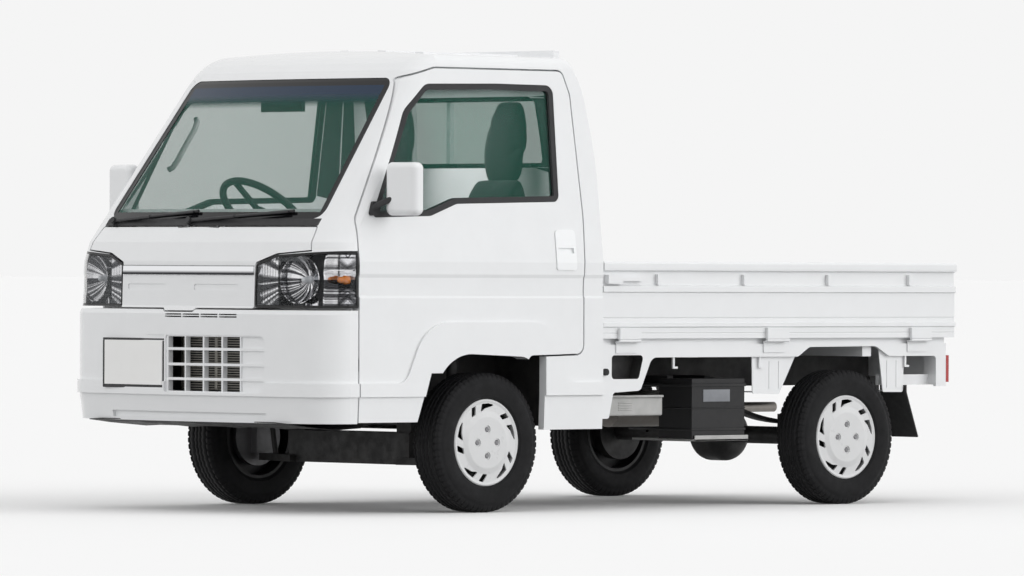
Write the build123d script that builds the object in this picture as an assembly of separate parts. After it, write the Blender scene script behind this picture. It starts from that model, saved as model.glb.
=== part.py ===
"""Kei truck: small cab-over lorry with a drop-side bed.

Vehicle frame in millimetres: +X is the vehicle's left, -Y its front, +Z up.
The origin is on the ground under the middle of the whole length.
"""
import os
from functools import lru_cache
from math import cos, pi, radians, sin, tan

from build123d import *

os.makedirs("parts", exist_ok=True)

# Whole vehicle
LENGTH = 3395.0
WHEELBASE = 1900.0
FRONT_OVERHANG = 907.0
HALF_LENGTH = LENGTH / 2
FRONT_AXLE_Y = -HALF_LENGTH + FRONT_OVERHANG
REAR_AXLE_Y = FRONT_AXLE_Y + WHEELBASE

# Wheels
TRACK = 1280.0
TYRE_RADIUS = 260.0
TYRE_WIDTH = 145.0
BEAD_RADIUS = 156.0
RIM_WIDTH = 118.0
RIM_WALL = 6.0
CAP_RADIUS = 164.0
CAP_HOLES = 5
# Openings of the wheel cover: corners as (angle in degrees, radius)
LARGE_OPENING = [(0, 146), (14, 147), (27, 146), (33, 116), (20, 128)]
SMALL_OPENING = [(39, 147), (48, 148), (57, 119), (46, 117)]
NUT_COUNT = 4
NUT_CIRCLE = 49.0
NUT_POCKET = 15.0
HUB_Z = TYRE_RADIUS
WHEEL_X = TRACK / 2
KINGPIN_X = 575.0
SPINDLE_RADIUS = 17.0
BEARING_GAP = 0.3
DRUM_RADIUS = 112.0

# Cab
CAB_BACK_Y = -218.0
CAB_WALL = 30.0
PANEL_WALL = 26.0
PROUD = 4.0
DOOR_THICKNESS = 58.0
SHUT_GAP = 6.5
BACK_WALL = 18.0
DOOR_HINGE_X = 724.0
DOOR_HINGE_Y = -1437.0
DOOR_PIN_RADIUS = 3.5
PIN_GAP = 0.3
BELT_Z = 1085.0
SIDE_HALF = 728.0
BELT_SET_IN = 4.0
FLARE_PROUD = 8.5
NOSE_Y = -HALF_LENGTH + FLARE_PROUD
DOOR_FRONT_Y = -1450.0
BUMPER_TOP_Z = 751.0
BUMPER_BOTTOM_Z = 336.0
GLASS_THICKNESS = 5.0
SEAL_WIDTH = 22.0
DECK_Z = 600.0
FOOTWELL_Z = 432.0
SEAT_X = 316.0
COWL_Z = 1064.0

# Bed
BED_FLOOR_Z = 650.0
BED_FRONT_Y = -212.0
GATE_TOP_Z = 936.0
GATE_GAP = 6.0
GATE_RAIL = 730.0
GATE_THICKNESS = 30.0
HINGE_Z = 636.0
HINGE_RADIUS = 6.0
FRAME_X = 318.0
FRAME_WIDTH = 46.0
FRAME_BOTTOM_Z = 455.0
FRAME_TOP_Z = 572.0


def box(x0, x1, y0, y1, z0, z1):
    """Box between two corners."""
    size = Box(x1 - x0, y1 - y0, z1 - z0)
    return Pos((x0 + x1) / 2, (y0 + y1) / 2, (z0 + z1) / 2) * size


def both(shape):
    """The shape and its mirror image on the vehicle's other side."""
    return Compound([*shape.solids(), *mirror(shape, Plane.YZ).solids()])


def outline(corners):
    """Closed face through corners (a, b, radius), straight sides joined by arcs."""
    rounded = []
    count = len(corners)
    for i, (a, b, r) in enumerate(corners):
        here = Vector(a, b)
        if r == 0:
            rounded.append((here, None, here))
            continue
        before = (Vector(*corners[i - 1][:2]) - here).normalized()
        after = (Vector(*corners[(i + 1) % count][:2]) - here).normalized()
        half = radians(before.get_angle(after)) / 2
        middle = here + (before + after).normalized() * (r / sin(half) - r)
        rounded.append((here + before * (r / tan(half)), middle, here + after * (r / tan(half))))
    edges = []
    for i, (start, middle, end) in enumerate(rounded):
        if middle is not None:
            edges.append(ThreePointArc(start, middle, end))
        edges.append(Line(end, rounded[(i + 1) % count][0]))
    return make_face(edges)


def along_x(face, x0, x1):
    """A face drawn in (y, z), extruded from x0 to x1."""
    return extrude(Plane((x0, 0, 0), x_dir=(0, 1, 0), z_dir=(1, 0, 0)) * face, x1 - x0)


def along_y(face, y0, y1):
    """A face drawn in (x, z), extruded from y0 to y1."""
    return extrude(Plane((0, y1, 0), x_dir=(1, 0, 0), z_dir=(0, -1, 0)) * face, y1 - y0)


def rod(start, end, radius):
    """Round bar between two points."""
    start, end = Vector(*start), Vector(*end)
    way = end - start
    return extrude(Plane(start, z_dir=way) * Circle(radius), way.length)


def write(name, shape):
    """One STEP file per named piece, holding one or more solids."""
    solids = shape.solids()
    export_step(solids[0] if len(solids) == 1 else Compound(solids), f"parts/{name}.step")


# Cab surface, bottom to top. Columns: height, half width of the side, half width of the
# nose panel, and y of the nose panel's middle, of its ends and of the front of the side.
CAB_SECTIONS = [
    (280, SIDE_HALF - 5, 588, NOSE_Y + 26, NOSE_Y + 69, -1486),
    (434, SIDE_HALF + 1, 590, NOSE_Y, NOSE_Y + 45, -1496),
    (735, SIDE_HALF, 590, NOSE_Y - 1, NOSE_Y + 44, -1498),
    (765, SIDE_HALF, 590, NOSE_Y + 18, NOSE_Y + 61, -1490),
    (797, SIDE_HALF, 590, NOSE_Y + 19, NOSE_Y + 62, -1490),
    (806, SIDE_HALF - BELT_SET_IN, 590, NOSE_Y + 19, NOSE_Y + 62, -1490),
    (872, SIDE_HALF - BELT_SET_IN, 590, NOSE_Y + 21, NOSE_Y + 64, -1489),
    (885, SIDE_HALF, 590, NOSE_Y + 21, NOSE_Y + 64, -1489),
    (930, SIDE_HALF, 591, NOSE_Y + 25, NOSE_Y + 69, -1486),
    (1000, SIDE_HALF - 8, 594, NOSE_Y + 49, NOSE_Y + 94, -1470),
    (1060, SIDE_HALF - 16, 590, NOSE_Y + 89, NOSE_Y + 142, -1440),
    (1600, SIDE_HALF - 80, 555, -1197, -1145, -1060),
    (1640, SIDE_HALF - 85, 553, -1161, -1110, -1024),
    (1668, SIDE_HALF - 88, 550, -1124, -1075, -988),
    (1688, SIDE_HALF - 90, 546, -1085, -1038, -950),
    (1703, SIDE_HALF - 92, 540, -1040, -995, -905),
    (1716, SIDE_HALF - 94, 530, -975, -932, -845),
    (1770, SIDE_HALF - 98, 500, -680, -640, -570),
]
CORNER_BULGE = 0.185
# Roof across the cab, as (x, z, radius), and the cab's back and roof from the side, as (y, z, radius)
ROOF_OUTLINE = [
    (-900, 200, 0), (900, 200, 0), (900, 1440, 0), (670, 1440, 0), (635, 1699, 52),
    (0, 1735, 8000), (-635, 1699, 52), (-670, 1440, 0), (-900, 1440, 0),
]
BACK_OUTLINE = [
    (-1900, 200, 0), (CAB_BACK_Y, 200, 0), (CAB_BACK_Y, 1330, 1500), (-262, 1590, 300),
    (-345, 1736, 50), (-1900, 1736, 0),
]


def cab_section(row, inset):
    """One level section of the cab: nose arc, corner arcs, sides and back."""
    z, side, nose, y_mid, y_end, y_side = row
    side -= inset
    nose -= inset / 2
    y_mid += inset
    y_end += inset
    y_side += inset * 0.4
    end = Vector(nose, y_end)
    start = Vector(side, y_side)
    chord = start - end
    bulge = (end + start) / 2 + Vector(chord.Y, -chord.X) * CORNER_BULGE
    rear = -120.0
    edges = [
        ThreePointArc((-nose, y_end), (0, y_mid), (nose, y_end)),
        ThreePointArc(end, bulge, start),
        Line((side, y_side), (side, rear)),
        Line((side, rear), (-side, rear)),
        Line((-side, rear), (-side, y_side)),
        ThreePointArc((-side, y_side), (-bulge.X, bulge.Y), (-nose, y_end)),
    ]
    return Pos(0, 0, z) * make_face(edges)


@lru_cache(maxsize=None)
def cab_block(inset):
    """The whole cab as one solid, its skin moved inwards by inset."""
    body = loft([cab_section(row, inset) for row in CAB_SECTIONS], ruled=True)
    roof = offset(outline(ROOF_OUTLINE), -inset, kind=Kind.INTERSECTION)
    back = offset(outline(BACK_OUTLINE), -min(inset, BACK_WALL), kind=Kind.INTERSECTION)
    return body & along_y(roof, -1900, 0) & along_x(back, -900, 900)


def cab_layer(outside, inside, zone):
    """What lies in a zone between two insets of the cab's skin."""
    return (cab_block(outside) & zone) - cab_block(inside)


skin = cab_block(0)
inner = cab_block(CAB_WALL)
DOOR_CLEAR_INSET = DOOR_THICKNESS + SHUT_GAP
door_inner = cab_block(DOOR_THICKNESS)
door_clear = cab_block(DOOR_CLEAR_INSET)

# Wheel arch of the cab and the flare round it, as (y, z, radius)
ARCH_OUTLINE = [
    (-1165, 200, 0), (-1165, 334, 0), (-1098, 374, 25), (-1040, 596, 185), (-585, 577, 95),
    (-519, 400, 60), (-519, 200, 0),
]
FLARE_OUTLINE = [
    (-1900, 434, 0), (-1900, 484, 0), (-1225, 484, 60), (-1120, 708, 170), (-470, 708, 150),
    (-405, 482, 60), (CAB_BACK_Y, 482, 0), (CAB_BACK_Y, 434, 0),
]
arch_cut = along_x(outline(ARCH_OUTLINE), -900, 900)
flare = along_x(outline(FLARE_OUTLINE), -900, 900) & cab_block(-FLARE_PROUD)
outside = skin + flare
shell = outside - inner - arch_cut

# Doors, as (y, z, radius)
DOOR_OUTLINE = [
    (DOOR_FRONT_Y, 340, 0), (DOOR_FRONT_Y, 1085, 60), (-1130, 1610, 40), (-1010, 1648, 90),
    (-362, 1648, 30), (-330, 1560, 60), (-309, 1100, 200), (-322, 840, 120), (-322, 590, 34),
    (-600, 584, 30), (-640, 520, 0), (-1100, 520, 0), (-1159, 340, 0),
]
WINDOW_OUTLINE = [
    (-1375, 1092, 14), (-1080, 1100, 60), (-945, 1146, 60), (-424, 1158, 28),
    (-411, 1595, 36), (-700, 1597, 0), (-1060, 1590, 60), (-1170, 1490, 120),
]
door_face = outline(DOOR_OUTLINE)
door_space = both(along_x(offset(door_face, SHUT_GAP, kind=Kind.INTERSECTION), 560, 900))
window_face = outline(WINDOW_OUTLINE)
door_side = along_x(door_face, 560, 900)
lower_door = (outside & door_side & box(500, 900, -1500, -250, 300, BELT_Z)) - door_inner - arch_cut
upper_door = cab_layer(0, CAB_WALL, door_side & box(500, 900, -1500, -250, BELT_Z, 1700))
window_cut = along_x(window_face, 500, 900)
door = (lower_door + upper_door) - window_cut
GLASS_SET_IN = 12.0
pane_zone = along_x(offset(window_face, -SEAL_WIDTH / 2, kind=Kind.INTERSECTION), 560, 900)
door_glass = cab_layer(GLASS_SET_IN, GLASS_SET_IN + GLASS_THICKNESS, pane_zone)
seal_ring = window_cut - along_x(offset(window_face, -SEAL_WIDTH, kind=Kind.INTERSECTION), 500, 900)
door_seal = cab_layer(2, PANEL_WALL, seal_ring) - door_glass

# Door handle and mirror
HANDLE_DEPTH = 10.0
HANDLE_Y0, HANDLE_Y1 = -460.0, -358.0
handle_plate = outline([
    (HANDLE_Y0, 902, 10), (HANDLE_Y1, 902, 10), (HANDLE_Y1, 1053, 16), (HANDLE_Y0, 1053, 16)])
handle_zone = along_x(handle_plate, 640, 800)
door_handle = cab_layer(-PROUD, HANDLE_DEPTH, handle_zone)
door_handle -= cab_layer(-PROUD, 4, box(715, 800, HANDLE_Y0 + 12, HANDLE_Y1 - 12, 965, 985))
door -= cab_layer(0, HANDLE_DEPTH, handle_zone)

# Door hinges: a pocket in the door's front edge round each pin, open inwards and forwards
HINGE_HEIGHTS = [(530, 570), (893, 917)]
HINGE_PIN_END = 7.0
hinge_leaves = None
for z0, z1 in HINGE_HEIGHTS:
    door -= box(600, DOOR_HINGE_X + DOOR_PIN_RADIUS + PIN_GAP, -1470, DOOR_HINGE_Y + 14, z0, z1)
    low = (DOOR_HINGE_X, DOOR_HINGE_Y, z0 - HINGE_PIN_END)
    high = (DOOR_HINGE_X, DOOR_HINGE_Y, z1 + HINGE_PIN_END)
    door -= rod(low, high, DOOR_PIN_RADIUS + PIN_GAP)
    leaf = rod(low, high, DOOR_PIN_RADIUS)
    leaf += box(656, DOOR_HINGE_X, DOOR_HINGE_Y - 3, DOOR_HINGE_Y + 3, z0 + 3, z1 - 3)
    hinge_leaves = leaf if hinge_leaves is None else hinge_leaves + leaf

mirror_head = Pos(795, -1290, 1198) * Rot(0, 0, 8) * (
    fillet(Box(150, 60, 196).edges(), 24))
mirror_arm = rod((702, -1372, 1128), (760, -1310, 1165), 11)
mirror_foot = cab_layer(-FLARE_PROUD, 0, along_x(
    outline([(-1392, 1100, 8), (-1345, 1100, 8), (-1325, 1152, 8), (-1372, 1152, 8)]), 640, 800))
door_fittings = Compound([*door_seal.solids(), *door_handle.solids()])
door_mirror = (mirror_head + mirror_arm + mirror_foot) - door - door_seal - door_glass

write("door_left", door)
write("door_right", mirror(door, Plane.YZ))
write("door_glass_left", door_glass)
write("door_glass_right", mirror(door_glass, Plane.YZ))
write("door_fittings_left", door_fittings)
write("door_fittings_right", mirror(door_fittings, Plane.YZ))
write("door_mirror_left", door_mirror)
write("door_mirror_right", mirror(door_mirror, Plane.YZ))

# Nose: bumper, lamps, front lid and the corners beside it, as (x, z, radius)
FRONT_END_Y = DOOR_FRONT_Y - SHUT_GAP
WINDSCREEN_OUTLINE = [
    (-603, COWL_Z + 24, 40), (603, COWL_Z + 24, 40), (560, 1612, 45), (-560, 1612, 45)]
LAMP_OUTLINE = [
    (379, 760, 12), (379, 920, 12), (470, 954, 60), (737, 970, 0), (760, 970, 0), (760, 760, 0)]
LID_HALF_TOP = 602.0
LID_TOP_Z = COWL_Z - 8
LID_GAP = 5.5
LID_HINGE_Y = -1590.0
LID_HINGE_Z = 1040.0
LID_PIN_RADIUS = 5.0
LID_LUGS = [(72, 98)]
lid_left = [
    (374, 757, 6), (374, 926, 12), (468, 960, 60), (624, 972, 0), (LID_HALF_TOP, LID_TOP_Z, 10)]
lid_right = [(-x, z, r) for x, z, r in reversed(lid_left)]
LID_DIP_Z = 747.0
lid_dip = [(-112, 757, 8), (-98, LID_DIP_Z, 8), (60, LID_DIP_Z, 8), (74, 757, 8)]
lid_face = outline(lid_left + lid_right + lid_dip)
lid_zone = along_y(lid_face, -1800, FRONT_END_Y)
lid_space = along_y(offset(lid_face, LID_GAP, kind=Kind.INTERSECTION), -1800, FRONT_END_Y)
lamp_face = outline(LAMP_OUTLINE)
lamp_zone = both(along_y(lamp_face, -1800, FRONT_END_Y))
nose_zone = box(-900, 900, -1900, FRONT_END_Y, 200, 1200)

front_lid = cab_layer(0, PANEL_WALL, lid_zone)
RELIEF_DEPTH = 3.0
for x0, x1 in ((-339, -107), (54, 290)):
    band = outline([(x0, 822, 8), (x1, 822, 8), (x1, 845, 8), (x0, 845, 8)])
    front_lid -= cab_layer(-1, RELIEF_DEPTH, along_y(band, -1800, -1500))
lid_pins = None
for x0, x1 in LID_LUGS:
    pocket = box(x0 - 18, x1 + 18, LID_HINGE_Y - 13, -1500, LID_HINGE_Z - 16, COWL_Z)
    lug = rod((x0, LID_HINGE_Y, LID_HINGE_Z), (x1, LID_HINGE_Y, LID_HINGE_Z), 11)
    lug += box(x0, x1, LID_HINGE_Y - 16, LID_HINGE_Y, LID_HINGE_Z - 10, LID_HINGE_Z + 8)
    bore = rod((x0, LID_HINGE_Y, LID_HINGE_Z), (x1, LID_HINGE_Y, LID_HINGE_Z), LID_PIN_RADIUS + PIN_GAP)
    front_lid = front_lid - both(pocket) + both((lug & skin) - bore)
    pin = rod((x0 - 10, LID_HINGE_Y, LID_HINGE_Z), (x1 + 10, LID_HINGE_Y, LID_HINGE_Z), LID_PIN_RADIUS)
    for x in (x0 - 11, x1 + 1):
        pin += box(x, x + 10, LID_HINGE_Y, -1556, LID_HINGE_Z - 5, LID_HINGE_Z + 5)
        pin += box(x, x + 10, -1566, -1556, LID_HINGE_Z - 5, COWL_Z)
    lid_pins = both(pin)
CHROME_Z0, CHROME_Z1 = 880.0, 914.0
chrome_strip = cab_layer(-PROUD, 0, box(-370, 370, -1800, FRONT_END_Y, CHROME_Z0, CHROME_Z1))
write("front_lid", front_lid)
write("lid_trim", chrome_strip)

LENS_WALL = 4.0
LAMP_DEPTH = 78.0
headlamp_lenses = cab_layer(0, LENS_WALL, lamp_zone)
lamp_inside = both(along_y(offset(lamp_face, -6, kind=Kind.INTERSECTION), -1800, FRONT_END_Y - 6))
headlamps = cab_layer(LENS_WALL, LAMP_DEPTH, lamp_zone) - cab_layer(LENS_WALL, DOOR_CLEAR_INSET, lamp_inside)
BOWL_X, BOWL_Z = 578.0, 863.0
BOWL_RADIUS = 88.0
BOWL_BACK_Y = -1548.0
BOWL_WALL = 3.0


def bowl():
    """Left lamp's round reflector: part of a sphere with a straight mouth, open to the front."""
    ball = BOWL_RADIUS * 1.2
    centre_y = BOWL_BACK_Y - ball
    mouth_y = centre_y + (ball ** 2 - BOWL_RADIUS ** 2) ** 0.5
    mouth = (BOWL_X, mouth_y, BOWL_Z)
    cup = Pos(BOWL_X, centre_y, BOWL_Z) * (Sphere(ball) - Sphere(ball - BOWL_WALL))
    cup = cup & rod((BOWL_X, BOWL_BACK_Y, BOWL_Z), mouth, BOWL_RADIUS)
    tube = rod(mouth, (BOWL_X, -1700, BOWL_Z), BOWL_RADIUS)
    return cup + (tube - rod(mouth, (BOWL_X, -1700, BOWL_Z), BOWL_RADIUS - BOWL_WALL))


FLUTE_PITCH = 15.0
lamp_inner = [box(BOWL_X + BOWL_RADIUS + 6, BOWL_X + BOWL_RADIUS + 10, -1620, FRONT_END_Y, 768, 955)]
for z in (828, 896):
    lamp_inner.append(box(BOWL_X + BOWL_RADIUS + 8, 720, -1600, FRONT_END_Y, z, z + 4))
for i in range(6):
    x = 390 + i * FLUTE_PITCH
    lamp_inner.append(rod((x, -1618, 770), (x, -1618, 950), FLUTE_PITCH * 0.6))
lamp_detail = bowl()
for piece in lamp_inner:
    lamp_detail += piece
headlamps += both(lamp_detail & cab_block(HANDLE_DEPTH) & along_y(lamp_face, -1800, FRONT_END_Y))
write("headlamps", headlamps)
write("headlamp_lenses", headlamp_lenses)

# Bumper with its plate recess, grille opening and slots
GRILLE_X0, GRILLE_X1 = -84.0, 446.0
GRILLE_Z0, GRILLE_Z1 = 444.0, 656.0
PLATE_X, PLATE_Z = -272.0, 552.0
PLATE_WIDTH, PLATE_HEIGHT = 330.0, 165.0
front_bumper = (outside & box(-900, 900, -1900, FRONT_END_Y, BUMPER_BOTTOM_Z, BUMPER_TOP_Z)) - inner
grille_zone = along_y(outline([
    (GRILLE_X0, GRILLE_Z0, 10), (GRILLE_X1, GRILLE_Z0, 30), (GRILLE_X1, GRILLE_Z1, 30),
    (GRILLE_X0, GRILLE_Z1, 10)]), -1800, -1500)
PLATE_FACE_Y = -1684.0
plate_recess = box(PLATE_X - 174, GRILLE_X0 - 8, -1800, PLATE_FACE_Y, PLATE_Z - 92, GRILLE_Z1)
front_bumper = front_bumper - grille_zone - plate_recess
SLOT_PITCH = 99.5
SLOT_Z = 722.0
for row in range(2):
    for column in range(4):
        x0 = -86 + column * SLOT_PITCH
        z0 = SLOT_Z + row * 9
        front_bumper -= box(x0, x0 + 92, -1800, -1600, z0, z0 + 5)
front_bumper -= lid_space
LIP_DEPTH = 12.0
lip = box(-425, 443, -1800, -1500, BUMPER_BOTTOM_Z + 12, 372)
front_bumper -= (outside & lip) - cab_block(LIP_DEPTH)
write("front_bumper", front_bumper)

# Lower grille: four by four openings, then closed ribs
grille = cab_layer(PROUD, PANEL_WALL, grille_zone)
GRILLE_COLUMNS = [(-71, 22), (29, 122), (130, 222), (230, 318)]
GRILLE_ROWS = [(449, 489), (499, 543), (553, 600), (610, 651)]
for x0, x1 in GRILLE_COLUMNS:
    for z0, z1 in GRILLE_ROWS:
        grille -= box(x0, x1, -1800, -1500, z0, z1)
RIB_SET_IN = 10.0
for z0, z1 in GRILLE_ROWS:
    grille -= cab_layer(0, RIB_SET_IN, box(324, GRILLE_X1 - 8, -1800, -1500, z0, z1))
write("bumper_grille", grille)

front_plate = box(PLATE_X - PLATE_WIDTH / 2, PLATE_X + PLATE_WIDTH / 2, PLATE_FACE_Y - 2, PLATE_FACE_Y,
                  PLATE_Z - PLATE_HEIGHT / 2, PLATE_Z + PLATE_HEIGHT / 2)

# Windscreen and rear window
windscreen_zone = along_y(outline(WINDSCREEN_OUTLINE), -1800, -1000)
windscreen = cab_layer(2, 2 + GLASS_THICKNESS, windscreen_zone)
REAR_WINDOW = [(-420, 1290, 50), (420, 1290, 50), (405, 1560, 50), (-405, 1560, 50)]
rear_window_zone = along_y(outline(REAR_WINDOW), -330, -150)
rear_glass = cab_layer(2, 2 + GLASS_THICKNESS, rear_window_zone)
write("fixed_glass", Compound([*windscreen.solids(), *rear_glass.solids()]))

# Body panels of the cab
cowl_strip = box(-603, 603, -1800, -1480, LID_TOP_Z + LID_GAP, COWL_Z + 24)
panels = shell - door_space - windscreen_zone - rear_window_zone - lid_space - lamp_zone - cowl_strip
panels -= box(-900, 900, -1900, FRONT_END_Y, 200, 955)
ROOF_SPLIT_Z = 1612.0
BACK_SPLIT_X = 560.0
BACK_SPLIT_Y = -300.0
roof_panel = panels & box(-900, 900, -1900, 0, ROOF_SPLIT_Z, 1800)
back_panel = panels & box(-BACK_SPLIT_X, BACK_SPLIT_X, BACK_SPLIT_Y, 0, DECK_Z, ROOF_SPLIT_Z)
sides = panels - box(-900, 900, -1900, 0, ROOF_SPLIT_Z, 1800)
sides -= box(-BACK_SPLIT_X, BACK_SPLIT_X, BACK_SPLIT_Y - 100, 0, 200, ROOF_SPLIT_Z)
sides -= box(-900, 900, -1900, -519, 200, 700)
sides -= box(-900, 900, -600, 0, 200, 306)
side_frames = Compound([s for s in sides.solids() if s.volume > 20000])
BEAD_WIDTH = 46.0
for x in (-420, -210, 0, 210, 420):
    bead = box(x - BEAD_WIDTH / 2, x + BEAD_WIDTH / 2, -880, -400, 1690, 1760)
    roof_panel += cab_layer(-PROUD, PROUD, bead)
write("roof_panel", roof_panel)
write("back_panel", back_panel)
write("side_frames", side_frames)

# Cowl cover with the wipers on it
cowl_cover = cab_layer(0, PANEL_WALL, cowl_strip)
WIPERS = [((-545, 1080), (-300, 1096), (-60, 1112)), ((-60, 1080), (190, 1096), (440, 1112))]


def on_windscreen(x, z, proud):
    """Point in front of the windscreen's surface."""
    low, high = CAB_SECTIONS[10], CAB_SECTIONS[11]
    share = (z - low[0]) / (high[0] - low[0])
    middle = low[3] + (high[3] - low[3]) * share
    end = low[4] + (high[4] - low[4]) * share
    bend = (x / 590) ** 2
    return (x, middle + (end - middle) * bend - proud, z)


wipers = None
for pivot, knee, tip in WIPERS:
    foot = on_windscreen(*pivot, 10)
    arm = rod(foot, on_windscreen(*knee, 22), 6) + rod(on_windscreen(*knee, 22), on_windscreen(*tip, 14), 4)
    boss = rod((foot[0], foot[1] + 16, foot[2] - 10), (foot[0], foot[1] - 12, foot[2] + 4), 13)
    blade_start = on_windscreen(knee[0] - 190, 1084, 9)
    blade = rod(blade_start, on_windscreen(tip[0] + 20, tip[1] + 4, 9), 6)
    wiper = arm + boss + blade
    wipers = wiper if wipers is None else wipers + wiper
write("cowl_cover", (cowl_cover + wipers) - windscreen)

# Floor of the cab: footwell, wheel houses and the deck under the seats
HOUSE_X = 400.0
HOUSE_FRONT_Y = -1118.0
HOUSE_BACK_Y = -470.0
FIREWALL_Y = FRONT_END_Y
FLOOR_SIDE = 660.0
PLATE = 14.0
floor_pieces = [
    box(-FLOOR_SIDE, FLOOR_SIDE, FIREWALL_Y, HOUSE_FRONT_Y, FOOTWELL_Z, FOOTWELL_Z + PLATE),
    box(-FLOOR_SIDE, FLOOR_SIDE, HOUSE_FRONT_Y - PLATE, HOUSE_FRONT_Y, FOOTWELL_Z, DECK_Z + PLATE),
    box(-FLOOR_SIDE, FLOOR_SIDE, HOUSE_FRONT_Y, 0, DECK_Z, DECK_Z + PLATE),
]
for x0 in (HOUSE_X - PLATE, -HOUSE_X):
    floor_pieces.append(box(x0, x0 + PLATE, HOUSE_FRONT_Y, HOUSE_BACK_Y, 340, DECK_Z))
for x0, x1 in ((HOUSE_X - PLATE, FLOOR_SIDE), (-FLOOR_SIDE, PLATE - HOUSE_X)):
    floor_pieces.append(box(x0, x1, HOUSE_BACK_Y, HOUSE_BACK_Y + PLATE, 320, DECK_Z))
cab_floor = floor_pieces[0]
for piece in floor_pieces[1:]:
    cab_floor += piece
cab_floor = cab_floor & door_clear
quarter_ties = both(box(FLOOR_SIDE - 20, 760, HOUSE_BACK_Y, HOUSE_BACK_Y + PLATE, 320, 560))
cab_floor += (quarter_ties & inner) - cab_floor
write("cab_floor", cab_floor)

# Bulkhead behind the front lid, with the top plate under the cowl cover
bulkhead = box(-720, 720, FIREWALL_Y - 10, FIREWALL_Y, FOOTWELL_Z, COWL_Z + 60)
bulkhead += box(-590, 590, -1566, FIREWALL_Y - 10, COWL_Z, COWL_Z + 8)
bulkhead = (bulkhead & inner) - cowl_cover - cab_layer(0, LAMP_DEPTH, lamp_zone)
HINGE_POST_TOP = 1000.0
bulkhead += both(box(642, 700, FIREWALL_Y, FIREWALL_Y + 40, FOOTWELL_Z + PLATE, HINGE_POST_TOP)) & door_clear
bulkhead += both(box(440, 520, -1700, FIREWALL_Y - 10, 820, 870)) & cab_block(LAMP_DEPTH)
bulkhead += both(hinge_leaves) + lid_pins
write("bulkhead", bulkhead)

# Dashboard, seats and cab fittings
dash_face = outline([
    (FIREWALL_Y, 880, 0), (-1290, 860, 30), (-1210, 930, 40), (-1225, 1060, 60), (-1330, 1096, 60),
    (FIREWALL_Y, 1090, 0)])
dashboard = along_x(dash_face, -640, 640)
dashboard += along_x(outline([
    (-1330, 1050, 0), (-1190, 1020, 20), (-1180, 1110, 30), (-1290, 1130, 40)]), -480, -150)
DOOR_SWING = 112.0
door_swing = rod((DOOR_HINGE_X, DOOR_HINGE_Y, 800), (DOOR_HINGE_X, DOOR_HINGE_Y, 1200), DOOR_SWING)
dashboard = (dashboard & door_clear) - both(door_swing)
write("dashboard", dashboard)

SEAT_WIDTH = 440.0
cushion_face = outline([
    (-830, DECK_Z + PLATE + 50, 30), (-360, DECK_Z + PLATE + 50, 20), (-340, 790, 40),
    (-840, 815, 60)])
backrest_face = outline([
    (-490, 800, 40), (-370, 790, 30), (-298, 1400, 28), (-372, 1420, 34)])
head_face = outline([
    (-368, 1430, 26), (-293, 1425, 20), (-290, 1540, 20), (-352, 1548, 26)])
seat_plinth = box(-SEAT_WIDTH / 2 + 20, SEAT_WIDTH / 2 - 20, -790, -390, DECK_Z + PLATE, DECK_Z + PLATE + 70)
seat = along_x(cushion_face, -SEAT_WIDTH / 2, SEAT_WIDTH / 2)
seat += along_x(backrest_face, -SEAT_WIDTH / 2, SEAT_WIDTH / 2)
seat += along_x(head_face, -118, 118)
seat += seat_plinth + box(-60, 60, -345, -320, 1380, 1450)
write("seat_left", Pos(SEAT_X, 0, 0) * seat)
write("seat_right", Pos(-SEAT_X, 0, 0) * seat)

WHEEL_CENTRE = Vector(-SEAT_X, -1000, 1112)
COLUMN_TILT = 42.0
column_way = Vector(0, sin(radians(COLUMN_TILT)), cos(radians(COLUMN_TILT)))
STEERING_RADIUS = 182.0
wheel_plane = Plane(WHEEL_CENTRE, x_dir=(1, 0, 0), z_dir=column_way)
rim = wheel_plane * Torus(STEERING_RADIUS, 14)
hub = wheel_plane * Pos(0, 0, -22) * Cylinder(46, 36)
steering_wheel = rim + hub
for angle in (-90, 30, 150):
    spoke = wheel_plane * Rot(0, 0, angle) * Pos(STEERING_RADIUS / 2 + 12, 0, -12) * Box(STEERING_RADIUS - 30, 26, 12)
    steering_wheel += spoke
write("steering_wheel", steering_wheel)

column_top = WHEEL_CENTRE - column_way * 40.3
column_foot = WHEEL_CENTRE - column_way * 690
column = (rod(column_top, column_foot, 26) & box(-700, 0, FIREWALL_Y, 0, 0, 2000)) - dashboard
inner_mirror = Pos(0, -1187, 1521) * Box(230, 18, 62)
inner_stay = rod((0, -1187, 1545), (0, -1130, 1640), 7) & inner
cab_fittings = Compound([*(column & inner).solids(), *(inner_mirror + inner_stay).solids()])
write("cab_fittings", cab_fittings)

# Ladder frame under the cab and the bed
RAIL_OUTLINE = [
    (-1760, 340, 0), (-1070, 340, 80), (-920, FRAME_BOTTOM_Z, 80), (1600, FRAME_BOTTOM_Z, 0), (1600, FRAME_TOP_Z, 0),
    (-960, FRAME_TOP_Z, 80), (-1100, 426, 80), (-1760, 426, 0)]
rail = along_x(outline(RAIL_OUTLINE), FRAME_X - FRAME_WIDTH / 2, FRAME_X + FRAME_WIDTH / 2)
chassis = both(rail) & box(-900, 900, -1900, 1700, 200, 700)
chassis = chassis - (box(-900, 900, -1900, -1300, 200, 700) - inner)
for y in (-1400, -1150):
    chassis += box(-FRAME_X, FRAME_X, y - 22, y + 22, 352, 412)
CROSS_Y = [-300, 60, 500, 860, 1340, 1570]
for y in CROSS_Y:
    chassis += box(-FRAME_X, FRAME_X, y - 22, y + 22, FRAME_BOTTOM_Z + 20, FRAME_TOP_Z - 20)
for y in (-880, -300):
    chassis += both(box(FRAME_X - 20, FRAME_X + 20, y - 25, y + 25, FRAME_TOP_Z, DECK_Z))
chassis += both(box(FRAME_X - 20, FRAME_X + 20, -1400, -1350, 426, FOOTWELL_Z))
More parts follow.
